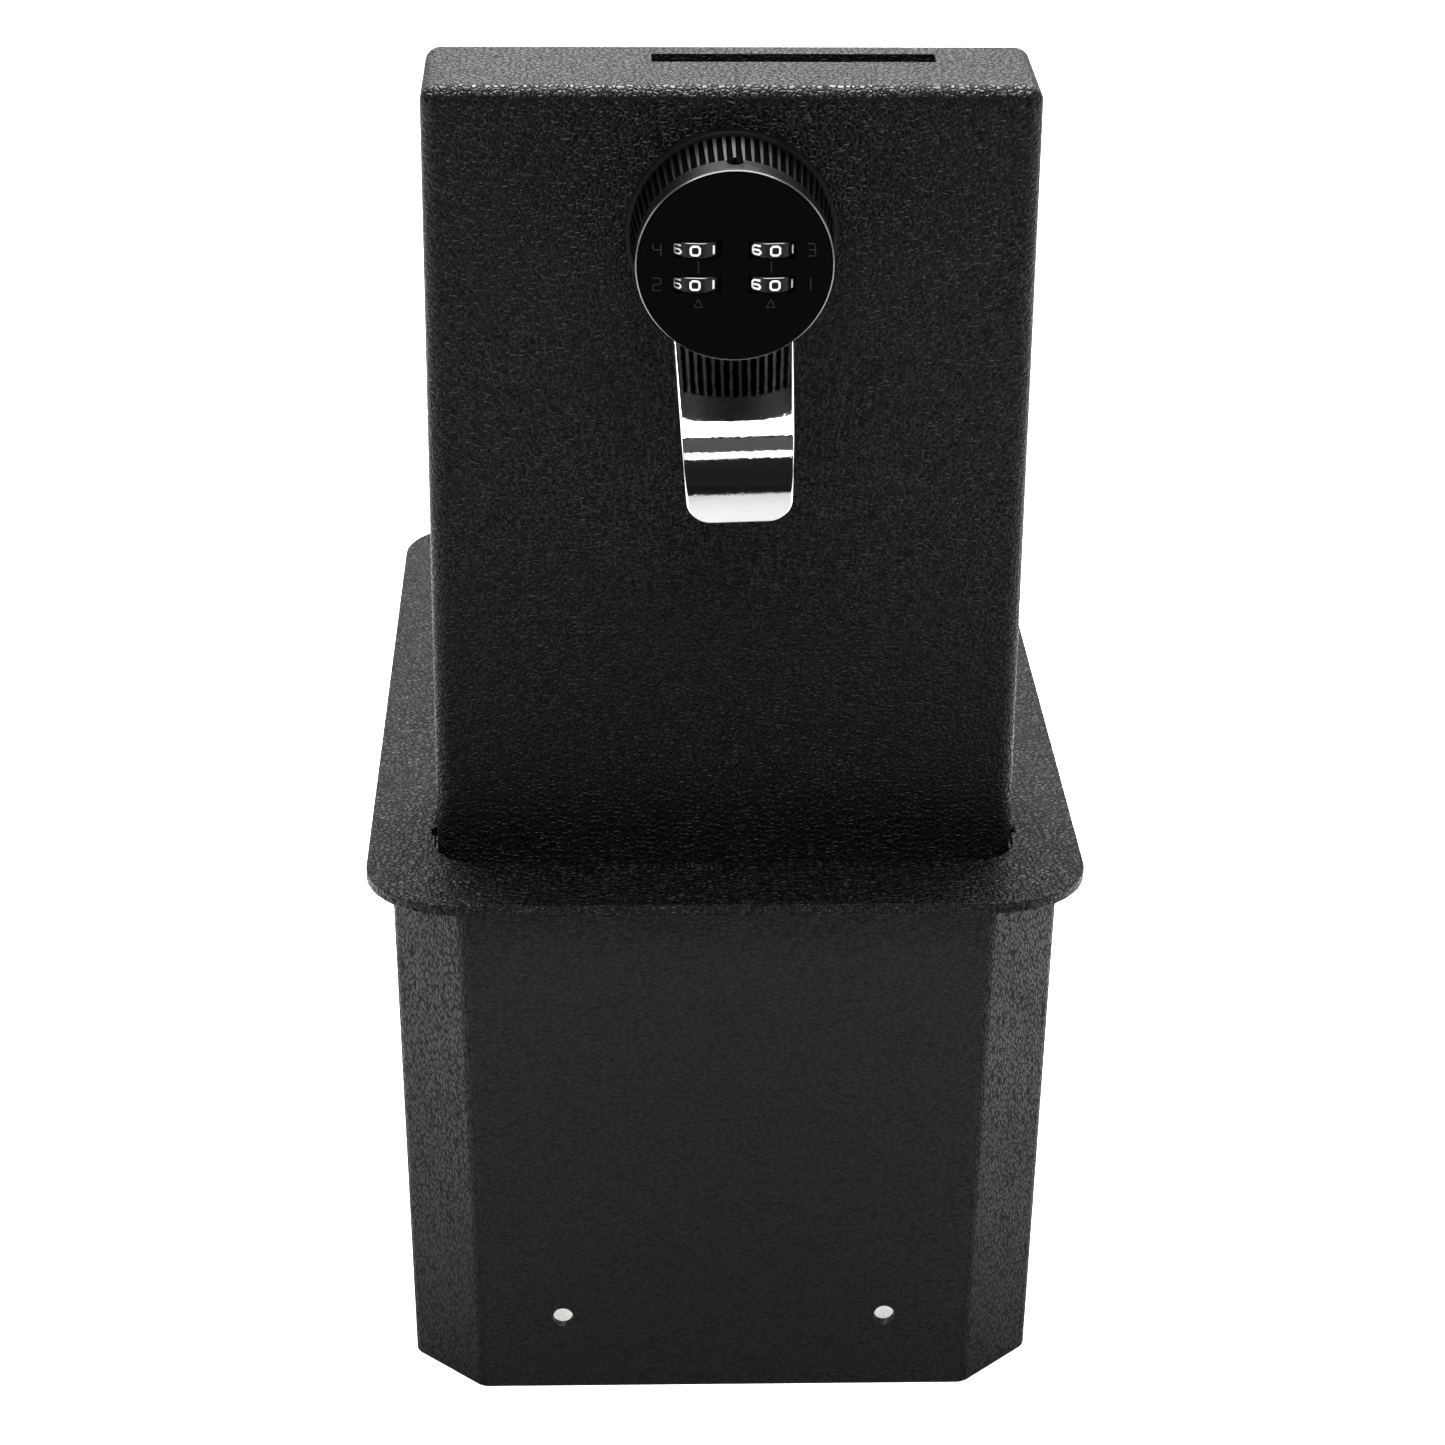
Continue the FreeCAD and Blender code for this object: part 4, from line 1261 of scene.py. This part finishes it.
@dataclass
class Knob:
    """Ribbed code knob: shell, face with windows and number wheels."""

    box: BoxSizes
    finishes: Finishes
    height: float = 23.5
    face_d: float = 42.0
    foot_d: float = 44.0
    foot: float = 2.9
    ribs: int = 68
    rib_depth: float = 1.1
    rib_slope: float = 0.16
    rib_foot_share: float = 0.84
    rib_top_share: float = 0.5
    band: float = 6.9
    rim: float = 0.6
    face_t: float = 2.0
    face_gap: float = 0.03
    back_r: float = 18.3
    back_top: float = 8.0
    wheel_room_r: float = 17.0
    pinhole_d: float = 3.6
    pinhole_long: float = 1.4
    pinhole_below: float = 6.0
    window: Pair = (10.0, 3.8)
    wheel_side: float = 7.85
    wheel_rows: Pair = (3.6, -4.0)
    wheel_turns: Pair = (-4.6, 5.6)
    figure_pen: Stroke = Stroke(1.9, 1.9, 0.47, 0.05, 0.4)
    figure_place: float = -0.1
    number_pen: Stroke = Stroke(1.7, 2.7, 0.22, 0.03)
    triangle_pen: Stroke = Stroke(1.8, 1.8, 0.2, 0.03, 0.1)
    line_pen: Stroke = Stroke(1.0, 2.6, 0.2, 0.03)
    mark_side: float = 7.67
    triangle_row: float = -8.2
    number_left: float = -16.4
    number_right: float = 16.0
    wheel_d: float = 13.4
    wheel_flat_cut: float = 0.18
    wheel_proud: float = 0.75
    wheel_gap: float = 0.4
    dial_t: float = 3.3
    dial_corner: float = 0.7
    dial_chamfer: float = 0.18
    hub_d: float = 7.1
    hub_t: float = 3.4
    order: tuple[Figure, ...] = (
        Figure.ZERO, Figure.ONE, Figure.TWO, Figure.THREE, Figure.FOUR, Figure.FIVE, Figure.SEVEN,
        Figure.EIGHT, Figure.NINE, Figure.SIX)

    @property
    def axle(self) -> float:
        """Height of the wheels' axles."""
        return self.height + self.wheel_proud - self.wheel_d / 2

    @property
    def flat_r(self) -> float:
        """Distance of a wheel's flats from its axle."""
        return self.wheel_d / 2 - self.wheel_flat_cut

    def shell(self) -> None:
        """Builds the ribbed cup and drills the pinhole through its band; the grooves, the rim's flat top and
        the pinhole's walls take a painted shade finish, the rim's chamfer a painted highlight.
        """
        pitch = 2 * math.pi / self.ribs
        rim_r = self.face_d / 2
        rib_top = self.height - self.band
        seat = rim_r - self.rim
        profile = [
            (self.foot_d / 2, self.foot), (rim_r, rib_top), (rim_r, self.height - self.rim / 2),
            (rim_r - self.rim / 2, self.height), (seat, self.height), (seat, self.height - self.face_t),
            (self.wheel_room_r, self.height - self.face_t), (self.wheel_room_r, self.back_top),
            (self.back_r, self.back_top), (self.back_r, self.foot)]
        bm = lathe(profile, 2 * self.ribs, start=-pitch / 4)
        shares = {self.foot: self.rib_foot_share, rib_top: self.rib_top_share}
        for vert in bm.verts:
            r = vert.co.xy.length
            for level, share in shares.items():
                if abs(vert.co.z - level) < TOUCH and r > self.back_r + PAST:
                    angle = math.atan2(vert.co.x, vert.co.y)
                    middle = round(angle / pitch) * pitch
                    angle = middle + (angle - middle) * share
                    vert.co.x = r * math.sin(angle)
                    vert.co.y = r * math.cos(angle)
        grooves = []
        for face in bm.faces:
            middle = face.calc_center_median()
            turn = math.atan2(middle.x, middle.y) / pitch
            outer = middle.xy.length > self.back_r and self.foot + PAST < middle.z < rib_top - PAST
            if outer and abs(turn - round(turn)) > 1 / 4:
                grooves.append(face)
        walls = bmesh.ops.inset_individual(bm, faces=grooves, thickness=self.rib_slope, depth=-self.rib_depth,
                                           use_even_offset=True)
        bmesh.ops.recalc_face_normals(bm, faces=bm.faces)
        # Painted shade: the grooves and their walls take the dull black finish.
        for face in grooves + walls["faces"]:
            face.material_index = 1
        # Painted highlight on the rim's chamfer and painted shade on its flat top; the band takes its own
        # finish.
        for face in bm.faces:
            middle = face.calc_center_median()
            if middle.z > self.height - self.rim / 2 + TOUCH:
                face.material_index = 2 if middle.xy.length > rim_r - self.rim / 2 else 1
            elif middle.z > rib_top and middle.xy.length > seat + TOUCH:
                face.material_index = 3
        carrier = Carrier(Body.KNOB.value, Slot.LOCK, ("knob_shell",))
        finishes = self.finishes
        piece = add_piece(bm, "knob_cup", self.box.on_lock(), finishes.lock, carrier,
                          Trim(edge=0.12, sharp_degrees=28.0), (finishes.painted_shade, finishes.rim, finishes.band))
        # The pinhole's walls take the painted shade finish.
        reach = rim_r - self.wheel_room_r + 2 * PAST
        out = Matrix.Translation((0, rim_r, self.height - self.pinhole_below))
        out = out @ Matrix.Rotation(math.pi / 2, 4, "X")
        long = Matrix.Scale(self.pinhole_long, 4, Y_AXIS)
        carve(piece, rod(self.pinhole_d / 2, -reach, reach), self.box.on_lock() @ out @ long, 1)

    def face(self) -> None:
        """Builds the face plate with its four windows, cut back below to clear the wheels."""
        bm = bmesh.new()
        bmesh.ops.create_circle(bm, cap_ends=False, radius=self.face_d / 2 - self.rim - self.face_gap,
                                segments=128, matrix=Matrix.Translation((0, 0, self.height)))
        half_w = self.window[0] / 2
        half_h = self.window[1] / 2
        for side in (-1, 1):
            for row in self.wheel_rows:
                x = side * self.wheel_side
                corners = [(x - half_w, row - half_h), (x + half_w, row - half_h),
                           (x + half_w, row + half_h), (x - half_w, row + half_h)]
                outline(bm, [Vector((*corner, self.height)) for corner in corners])
        plate_between(bm, self.face_t)
        bmesh.ops.triangulate(bm, faces=bm.faces[:])
        below = self.height - self.face_t - self.axle
        room = math.sqrt((self.wheel_d / 2 + self.wheel_gap) ** 2 - below ** 2)
        for vert in bm.verts:
            if vert.co.z < self.height - TOUCH and vert.co.xy.length < self.wheel_room_r:
                x = math.copysign(self.wheel_side, vert.co.x)
                vert.co.x = x + math.copysign(room, vert.co.x - x)
        carrier = Carrier(Body.KNOB.value, Slot.FACE, ("knob_face",))
        add_piece(bm, "knob_plate", self.box.on_lock(), self.finishes.face, carrier,
                  Trim(sharp_degrees=SHARP_DEGREES))

    def marks(self) -> None:
        """Builds the wheels' numbers, index lines and triangles on the face."""
        bm = bmesh.new()
        upper, lower = self.wheel_rows
        drawn = [
            (self.number_pen, Figure.FOUR, self.number_left, upper),
            (self.number_pen, Figure.THREE, self.number_right, upper),
            (self.number_pen, Figure.TWO, self.number_left, lower),
            (self.number_pen, Figure.ONE, self.number_right, lower)]
        for x in (-self.mark_side, self.mark_side):
            drawn.append((self.triangle_pen, Figure.TRIANGLE, x, self.triangle_row))
            drawn.append((self.line_pen, Figure.LINE, x, (upper + lower) / 2))
        for pen, figure, x, y in drawn:
            add_drawn(bm, pen.draw(figure), Matrix.Translation((x, y, self.height)))
        carrier = Carrier(Body.KNOB.value, Slot.FACE)
        add_piece(bm, "face_marks", self.box.on_lock(), self.finishes.mark, carrier)

    def dial(self) -> Mesh:
        """Flat-sided number wheel about Y, with its chamfers in finish 1, a painted highlight, and its hub
        below.

        Returns:
            The mesh.
        """
        count = len(self.order)
        bm = bmesh.new()
        turn = Matrix.Rotation(-math.pi / 2, 4, "X") @ Matrix.Rotation(math.pi / count, 4, "Z")
        base = Matrix.Translation((0, -self.dial_t / 2, 0)) @ turn
        bmesh.ops.create_circle(bm, cap_ends=True, radius=self.flat_r / math.cos(math.pi / count),
                                segments=count, matrix=base)
        grown = bmesh.ops.extrude_face_region(bm, geom=bm.faces[:])["geom"]
        bmesh.ops.translate(bm, vec=Y_AXIS * self.dial_t, verts=picked(grown, Vert))
        bmesh.ops.recalc_face_normals(bm, faces=bm.faces)

        def along_axle(edge: Edge) -> bool:
            """Whether an edge runs from one side of the wheel to the other."""
            return abs((edge.verts[0].co - edge.verts[1].co).y) > TOUCH

        round_edges(bm, [edge for edge in bm.edges if along_axle(edge)], self.dial_corner, 4)
        sides = [edge for edge in bm.edges if not along_axle(edge)]
        # The chamfers take the painted highlight finish.
        for face in round_edges(bm, sides, self.dial_chamfer, 1):
            face.material_index = 1
        bm.normal_update()
        under = [face for face in bm.faces if face.normal.y < -LEANING]
        hub_inset = (self.wheel_d - self.hub_d) / 2
        bmesh.ops.inset_region(bm, faces=under, thickness=hub_inset, use_even_offset=True)
        grown = bmesh.ops.extrude_face_region(bm, geom=under)["geom"]
        bmesh.ops.translate(bm, vec=-Y_AXIS * self.hub_t, verts=picked(grown, Vert))
        bmesh.ops.delete(bm, geom=[face for face in under if face.is_valid], context="FACES_ONLY")
        bmesh.ops.recalc_face_normals(bm, faces=bm.faces)
        return bm

    def figures(self) -> Mesh:
        """White figures on the flats of a number wheel.

        Returns:
            The mesh.
        """
        bm = bmesh.new()
        for i, figure in enumerate(self.order):
            turn = Matrix.Rotation(2 * math.pi * i / len(self.order), 4, "Y")
            place = turn @ Matrix.Translation((0, self.figure_place, self.flat_r))
            add_drawn(bm, self.figure_pen.draw(figure), place)
        return bm

    def wheels(self) -> None:
        """Builds the number wheels and the white figures round them."""
        for word, row in zip(("upper", "lower"), self.wheel_rows):
            for hand, side, degrees in zip(("left", "right"), (-1, 1), self.wheel_turns):
                name = f"{word}_{hand}"
                spin = Matrix.Rotation(math.radians(degrees), 4, "Y")
                axle = Matrix.Translation((side * self.wheel_side, row, self.axle))
                place = self.box.on_lock() @ axle @ spin
                carrier = Carrier(f"wheel_{name}", Slot.WHEEL, (f"number_wheel_{name}",))
                add_piece(self.dial(), f"dial_{name}", place, self.finishes.wheel, carrier, Trim(edge=0.06),
                          (self.finishes.wheel_edge_painted_highlight,))
                carrier = Carrier(f"wheel_{name}", Slot.WHEEL)
                add_piece(self.figures(), f"figures_{name}", place, self.finishes.white, carrier)

    def build(self) -> None:
        """Builds every piece of the knob."""
        self.shell()
        self.face()
        self.marks()
        self.wheels()


@dataclass
class LockBack:
    """Fixed base of the lock, with its threaded barrel, and the nut and washer that clamp it."""

    box: BoxSizes
    finishes: Finishes
    lid: Lid
    base_d: float = 46.0
    base_h: float = 2.6
    base_edge: Pair = (0.6, 0.18)
    boss_d: float = 35.0
    boss_top: float = 4.6
    barrel_d: float = 22.0
    barrel_l: float = 19.8
    bore_d: float = 9.1
    thread_pitch: float = 1.0
    thread_depth: float = 0.4
    bolt_radius: float = 12.5
    socket_d: float = 4.8
    socket_depth: float = 1.9
    plate_under: float = -5.7
    washer_t: float = 1.2
    washer_d: float = 31.0
    nut_flats: float = 28.0
    nut_h: float = 5.5

    def base(self) -> None:
        """Builds the base ring and its threaded barrel as one turning."""
        r = self.base_d / 2
        bore = self.bore_d / 2
        boss = self.boss_d / 2
        barrel = self.barrel_d / 2
        ends, middle = self.base_edge
        profile = [(bore, self.boss_top), (boss, self.boss_top), (boss, self.base_h),
                   (r - ends, self.base_h), (r - middle, self.base_h - middle), (r, self.base_h - ends),
                   (r, 0), (barrel, 0)]
        z = self.plate_under
        while z > -self.barrel_l + self.thread_pitch:
            profile += [(barrel, z), (barrel - self.thread_depth, z - self.thread_pitch / 2)]
            z -= self.thread_pitch
        profile += [(barrel - self.thread_depth, -self.barrel_l), (bore, -self.barrel_l)]
        carrier = Carrier(Body.LID.value, Slot.LOCK, ("lock_base",))
        lock = self.box.on_lock()
        ring = add_piece(lathe(profile, 128), "base_ring", lock, self.finishes.base, carrier,
                         Trim(sharp_degrees=SHARP_DEGREES))
        for x, y in ((0, self.bolt_radius), (-self.bolt_radius, 0)):
            socket = rod(self.socket_d / 2, self.boss_top - self.socket_depth, self.boss_top + PAST)
            carve(ring, socket, lock @ Matrix.Translation((x, y, 0)))
        carve(ring, self.lid.foot_room(), lock @ self.lid.tab_turn())

    def washer(self) -> None:
        """Builds the washer."""
        high = self.plate_under
        low = high - self.washer_t
        inner = self.barrel_d / 2
        outer = self.washer_d / 2
        bm = lathe([(inner, low), (outer, low), (outer, high), (inner, high)], 96)
        carrier = Carrier(Body.LID.value, Slot.STEEL, ("lock_washer",))
        add_piece(bm, "nut_washer", self.box.on_lock(), self.finishes.steel, carrier, Trim(edge=0.2))

    def nut(self) -> None:
        """Builds the six-sided nut with its bore."""
        high = self.plate_under - self.washer_t
        bm = bmesh.new()
        place = Matrix.Translation((0, 0, high))
        for radius, segments in ((self.nut_flats / math.sqrt(3), 6), (self.barrel_d / 2, 60)):
            bmesh.ops.create_circle(bm, cap_ends=False, radius=radius, segments=segments, matrix=place)
        plate_between(bm, self.nut_h)
        carrier = Carrier(Body.LID.value, Slot.STEEL, ("lock_nut",))
        add_piece(bm, "barrel_nut", self.box.on_lock(), self.finishes.steel, carrier,
                  Trim(edge=0.5, edge_segments=3))

    def build(self) -> None:
        """Builds every piece behind the knob."""
        self.base()
        self.washer()
        self.nut()


@dataclass
class CadDressing:
    """Finishes for the CAD nodes that keep their own shape."""

    frame: dict
    finishes: Finishes

    def smooth_copy(self, node: str, slot: Slot, body: str) -> None:
        """Shows a round node as a merged copy with smooth shading.

        Args:
            node: name of the CAD node.
            slot: its material slot.
            body: the body that carries it.
        """
        bm = bmesh.new()
        bm.from_mesh(self.frame["nodes"][node].data)
        bmesh.ops.remove_doubles(bm, verts=bm.verts, dist=TOUCH * MM)
        bmesh.ops.dissolve_limit(bm, angle_limit=math.radians(0.5), verts=bm.verts[:], edges=bm.edges[:])
        add_mesh(to_mesh(bm, node), f"{node}_smooth", self.finishes.for_slot(slot),
                 Carrier(body, slot, (node,)), Trim(sharp_degrees=32.0))

    def build(self) -> None:
        """Dresses every CAD node that no new piece has replaced."""
        record = self.frame["record"]
        slots = {row["node"]: Slot(row["material_slot"]) for row in record["subparts"]}
        plain = ("tub_floor", "latch_keeper", "lid_rest_left", "lid_rest_right")
        for body, nodes in record["behaviour"]["bodies"].items():
            for node in nodes:
                shown = self.frame["nodes"][node]
                if shown.hide_render:
                    continue
                if node in plain:
                    shown.data.materials.clear()
                    shown.data.materials.append(self.finishes.for_slot(slots[node]))
                    LOG.info("node %s keeps its shape", node)
                else:
                    self.smooth_copy(node, slots[node], body)


@dataclass
class Studio:
    """Pale floor, soft light and a camera at the photograph's place."""

    camera_mm: Triple = (-27.9, -897.2, 508.36)
    pitch: float = 23.3
    yaw: float = 1.93
    roll: float = -0.54
    focal_px: float = 3835.08
    image_px: float = 1445.0
    sensor: float = 36.0

    def camera(self) -> None:
        """Places the camera."""
        yaw, pitch, roll = (math.radians(angle) for angle in (self.yaw, self.pitch, self.roll))
        ahead = Vector((math.sin(yaw) * math.cos(pitch), math.cos(yaw) * math.cos(pitch), -math.sin(pitch)))
        level = Vector((math.cos(yaw), -math.sin(yaw), 0))
        down = ahead.cross(level)
        right = math.cos(roll) * level + math.sin(roll) * down
        up = math.sin(roll) * level - math.cos(roll) * down
        data = bpy.data.cameras.new("camera")
        data.sensor_width = self.sensor
        data.lens = self.focal_px * self.sensor / self.image_px
        data.clip_start = 0.01
        data.clip_end = 100.0
        camera = show("camera", data)
        place = Matrix((right, up, -ahead)).transposed().to_4x4()
        place.translation = Vector(self.camera_mm) * MM
        camera.matrix_world = place
        bpy.context.scene.camera = camera

    def floor(self) -> None:
        """Lays the floor, which is paler to the eye than in reflections: there it carries painted shade in
        the middle and far off, and a painted glow ahead of the box.
        """
        bm = bmesh.new()
        bmesh.ops.create_grid(bm, x_segments=1, y_segments=1, size=12.0)
        mesh = to_mesh(bm, "floor")
        sheet = NodeSheet("floor_pale")
        sheet.set(Roughness=1.0, Specular_IOR_Level=0.0, Emission_Color=(1.0, 1.0, 1.0, 1.0))
        seen = sheet.add("ShaderNodeLightPath").outputs["Is Camera Ray"]
        parts = sheet.add("ShaderNodeSeparateXYZ")
        sheet.join(sheet.add("ShaderNodeTexCoord").outputs["Object"], parts.inputs["Vector"])
        aside = sheet.add("ShaderNodeMath", operation="ABSOLUTE")
        sheet.join(parts.outputs["X"], aside.inputs[0])
        ahead = parts.outputs["Y"]
        # Painted shade in reflections: darker in the middle and fading out far ahead.
        near = sheet.ranged(ahead, (-1.5, -1.3), (0.02, 1.0))
        middle = sheet.ranged(aside.outputs[0], (0.1, 0.3), (0.3, 0.9))
        sheet.ramp(sheet.choose(seen, sheet.combine("MULTIPLY", middle, near), 1.0), grey(0.0), grey(0.96))
        # Painted glow in reflections, far ahead and just in front of the box.
        far_glow = sheet.ranged(ahead, (-1.5, -0.4), (0.42, 0.0))
        near_glow = sheet.ranged(ahead, (-0.34, -0.16), (0.0, 0.2))
        glow = sheet.combine("MULTIPLY", sheet.combine("ADD", far_glow, near_glow), near)
        sheet.join(sheet.choose(seen, glow, 0.45), sheet.shader.inputs["Emission Strength"])
        mesh.materials.append(sheet.material)
        show("floor", mesh)

    def world(self) -> None:
        """Lights the room: bright behind the box, grey at its sides and dark in front."""
        world = bpy.data.worlds.new("room")
        bpy.context.scene.world = world
        world.use_nodes = True
        tree = world.node_tree
        back = tree.nodes["Background"]
        where = tree.nodes.new("ShaderNodeTexCoord")
        parts = tree.nodes.new("ShaderNodeSeparateXYZ")
        ramp = tree.nodes.new("ShaderNodeMapRange")
        ramp.inputs["From Min"].default_value = -1.0
        levels = tree.nodes.new("ShaderNodeValToRGB")
        stops = levels.color_ramp.elements
        for place, level in ((0.0, 0.015), (0.3, 0.03), (0.5, 0.25), (0.7, 0.5), (1.0, 0.6)):
            stop = stops[0] if place == 0.0 else stops[-1] if place == 1.0 else stops.new(place)
            stop.color = (level, level, level, 1.0)
        tree.links.new(where.outputs["Generated"], parts.inputs["Vector"])
        tree.links.new(parts.outputs["Y"], ramp.inputs["Value"])
        tree.links.new(ramp.outputs["Result"], levels.inputs["Fac"])
        tree.links.new(levels.outputs["Color"], back.inputs["Color"])

    def softbox(self, name: str, at: Vector, aim: Vector, size: Pair, watts: float) -> None:
        """Hangs a soft light.

        Args:
            name: its name.
            at: where it hangs, in metres.
            aim: the point it faces.
            size: its width and height in metres.
            watts: its power.
        """
        data = bpy.data.lights.new(name, "AREA")
        data.shape = "RECTANGLE"
        data.size, data.size_y = size
        data.energy = watts
        light = show(name, data)
        light.visible_camera = False
        light.location = at
        light.rotation_mode = "QUATERNION"
        light.rotation_quaternion = (aim - at).to_track_quat("-Z", "Y")

    def build(self) -> None:
        """Sets up the studio."""
        self.camera()
        self.floor()
        self.world()
        middle = Vector((0, 0, 0.2))
        tab = Vector((0, -0.115, 0.235))
        self.softbox("overhead", Vector((0.0, 0.72, 1.6)), middle, (1.7, 0.9), 62.0)
        self.softbox("back_panel", Vector((0.0, 1.7, 1.0)), middle, (2.6, 0.9), 18.0)
        self.softbox("knob_key", Vector((0.0, 0.1, 0.62)), Vector((0, -0.11, 0.29)), (0.34, 0.16), 8.0)
        for side in (-1, 1):
            self.softbox("side_panel", Vector((side * 1.0, -0.05, 0.48)), tab, (0.8, 0.5), 3.6)
        self.softbox("front_high", Vector((0.0, -0.665, 1.19)), tab, (1.3, 0.5), 24.0)
        self.softbox("front_fill", Vector((0.0, -0.98, 0.91)), tab, (1.2, 0.27), 0.085)
        self.softbox("front_strip", Vector((0.0, -1.26, 0.85)), tab, (1.2, 0.13), 1.6)
        bpy.context.scene.view_settings.view_transform = "Standard"


def main() -> None:
    """Builds the box and its studio."""
    logging.basicConfig(level=logging.INFO, format="%(name)s: %(message)s")
    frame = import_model()
    Studio().build()
    box = BoxSizes()
    finishes = Finishes()
    lid = Lid(box, finishes)
    for assembly in (Tub(box, finishes), lid, Knob(box, finishes), LockBack(box, finishes, lid)):
        assembly.build()
    CadDressing(frame, finishes).build()
    bpy.context.view_layer.update()


if __name__ == "__main__":
    main()
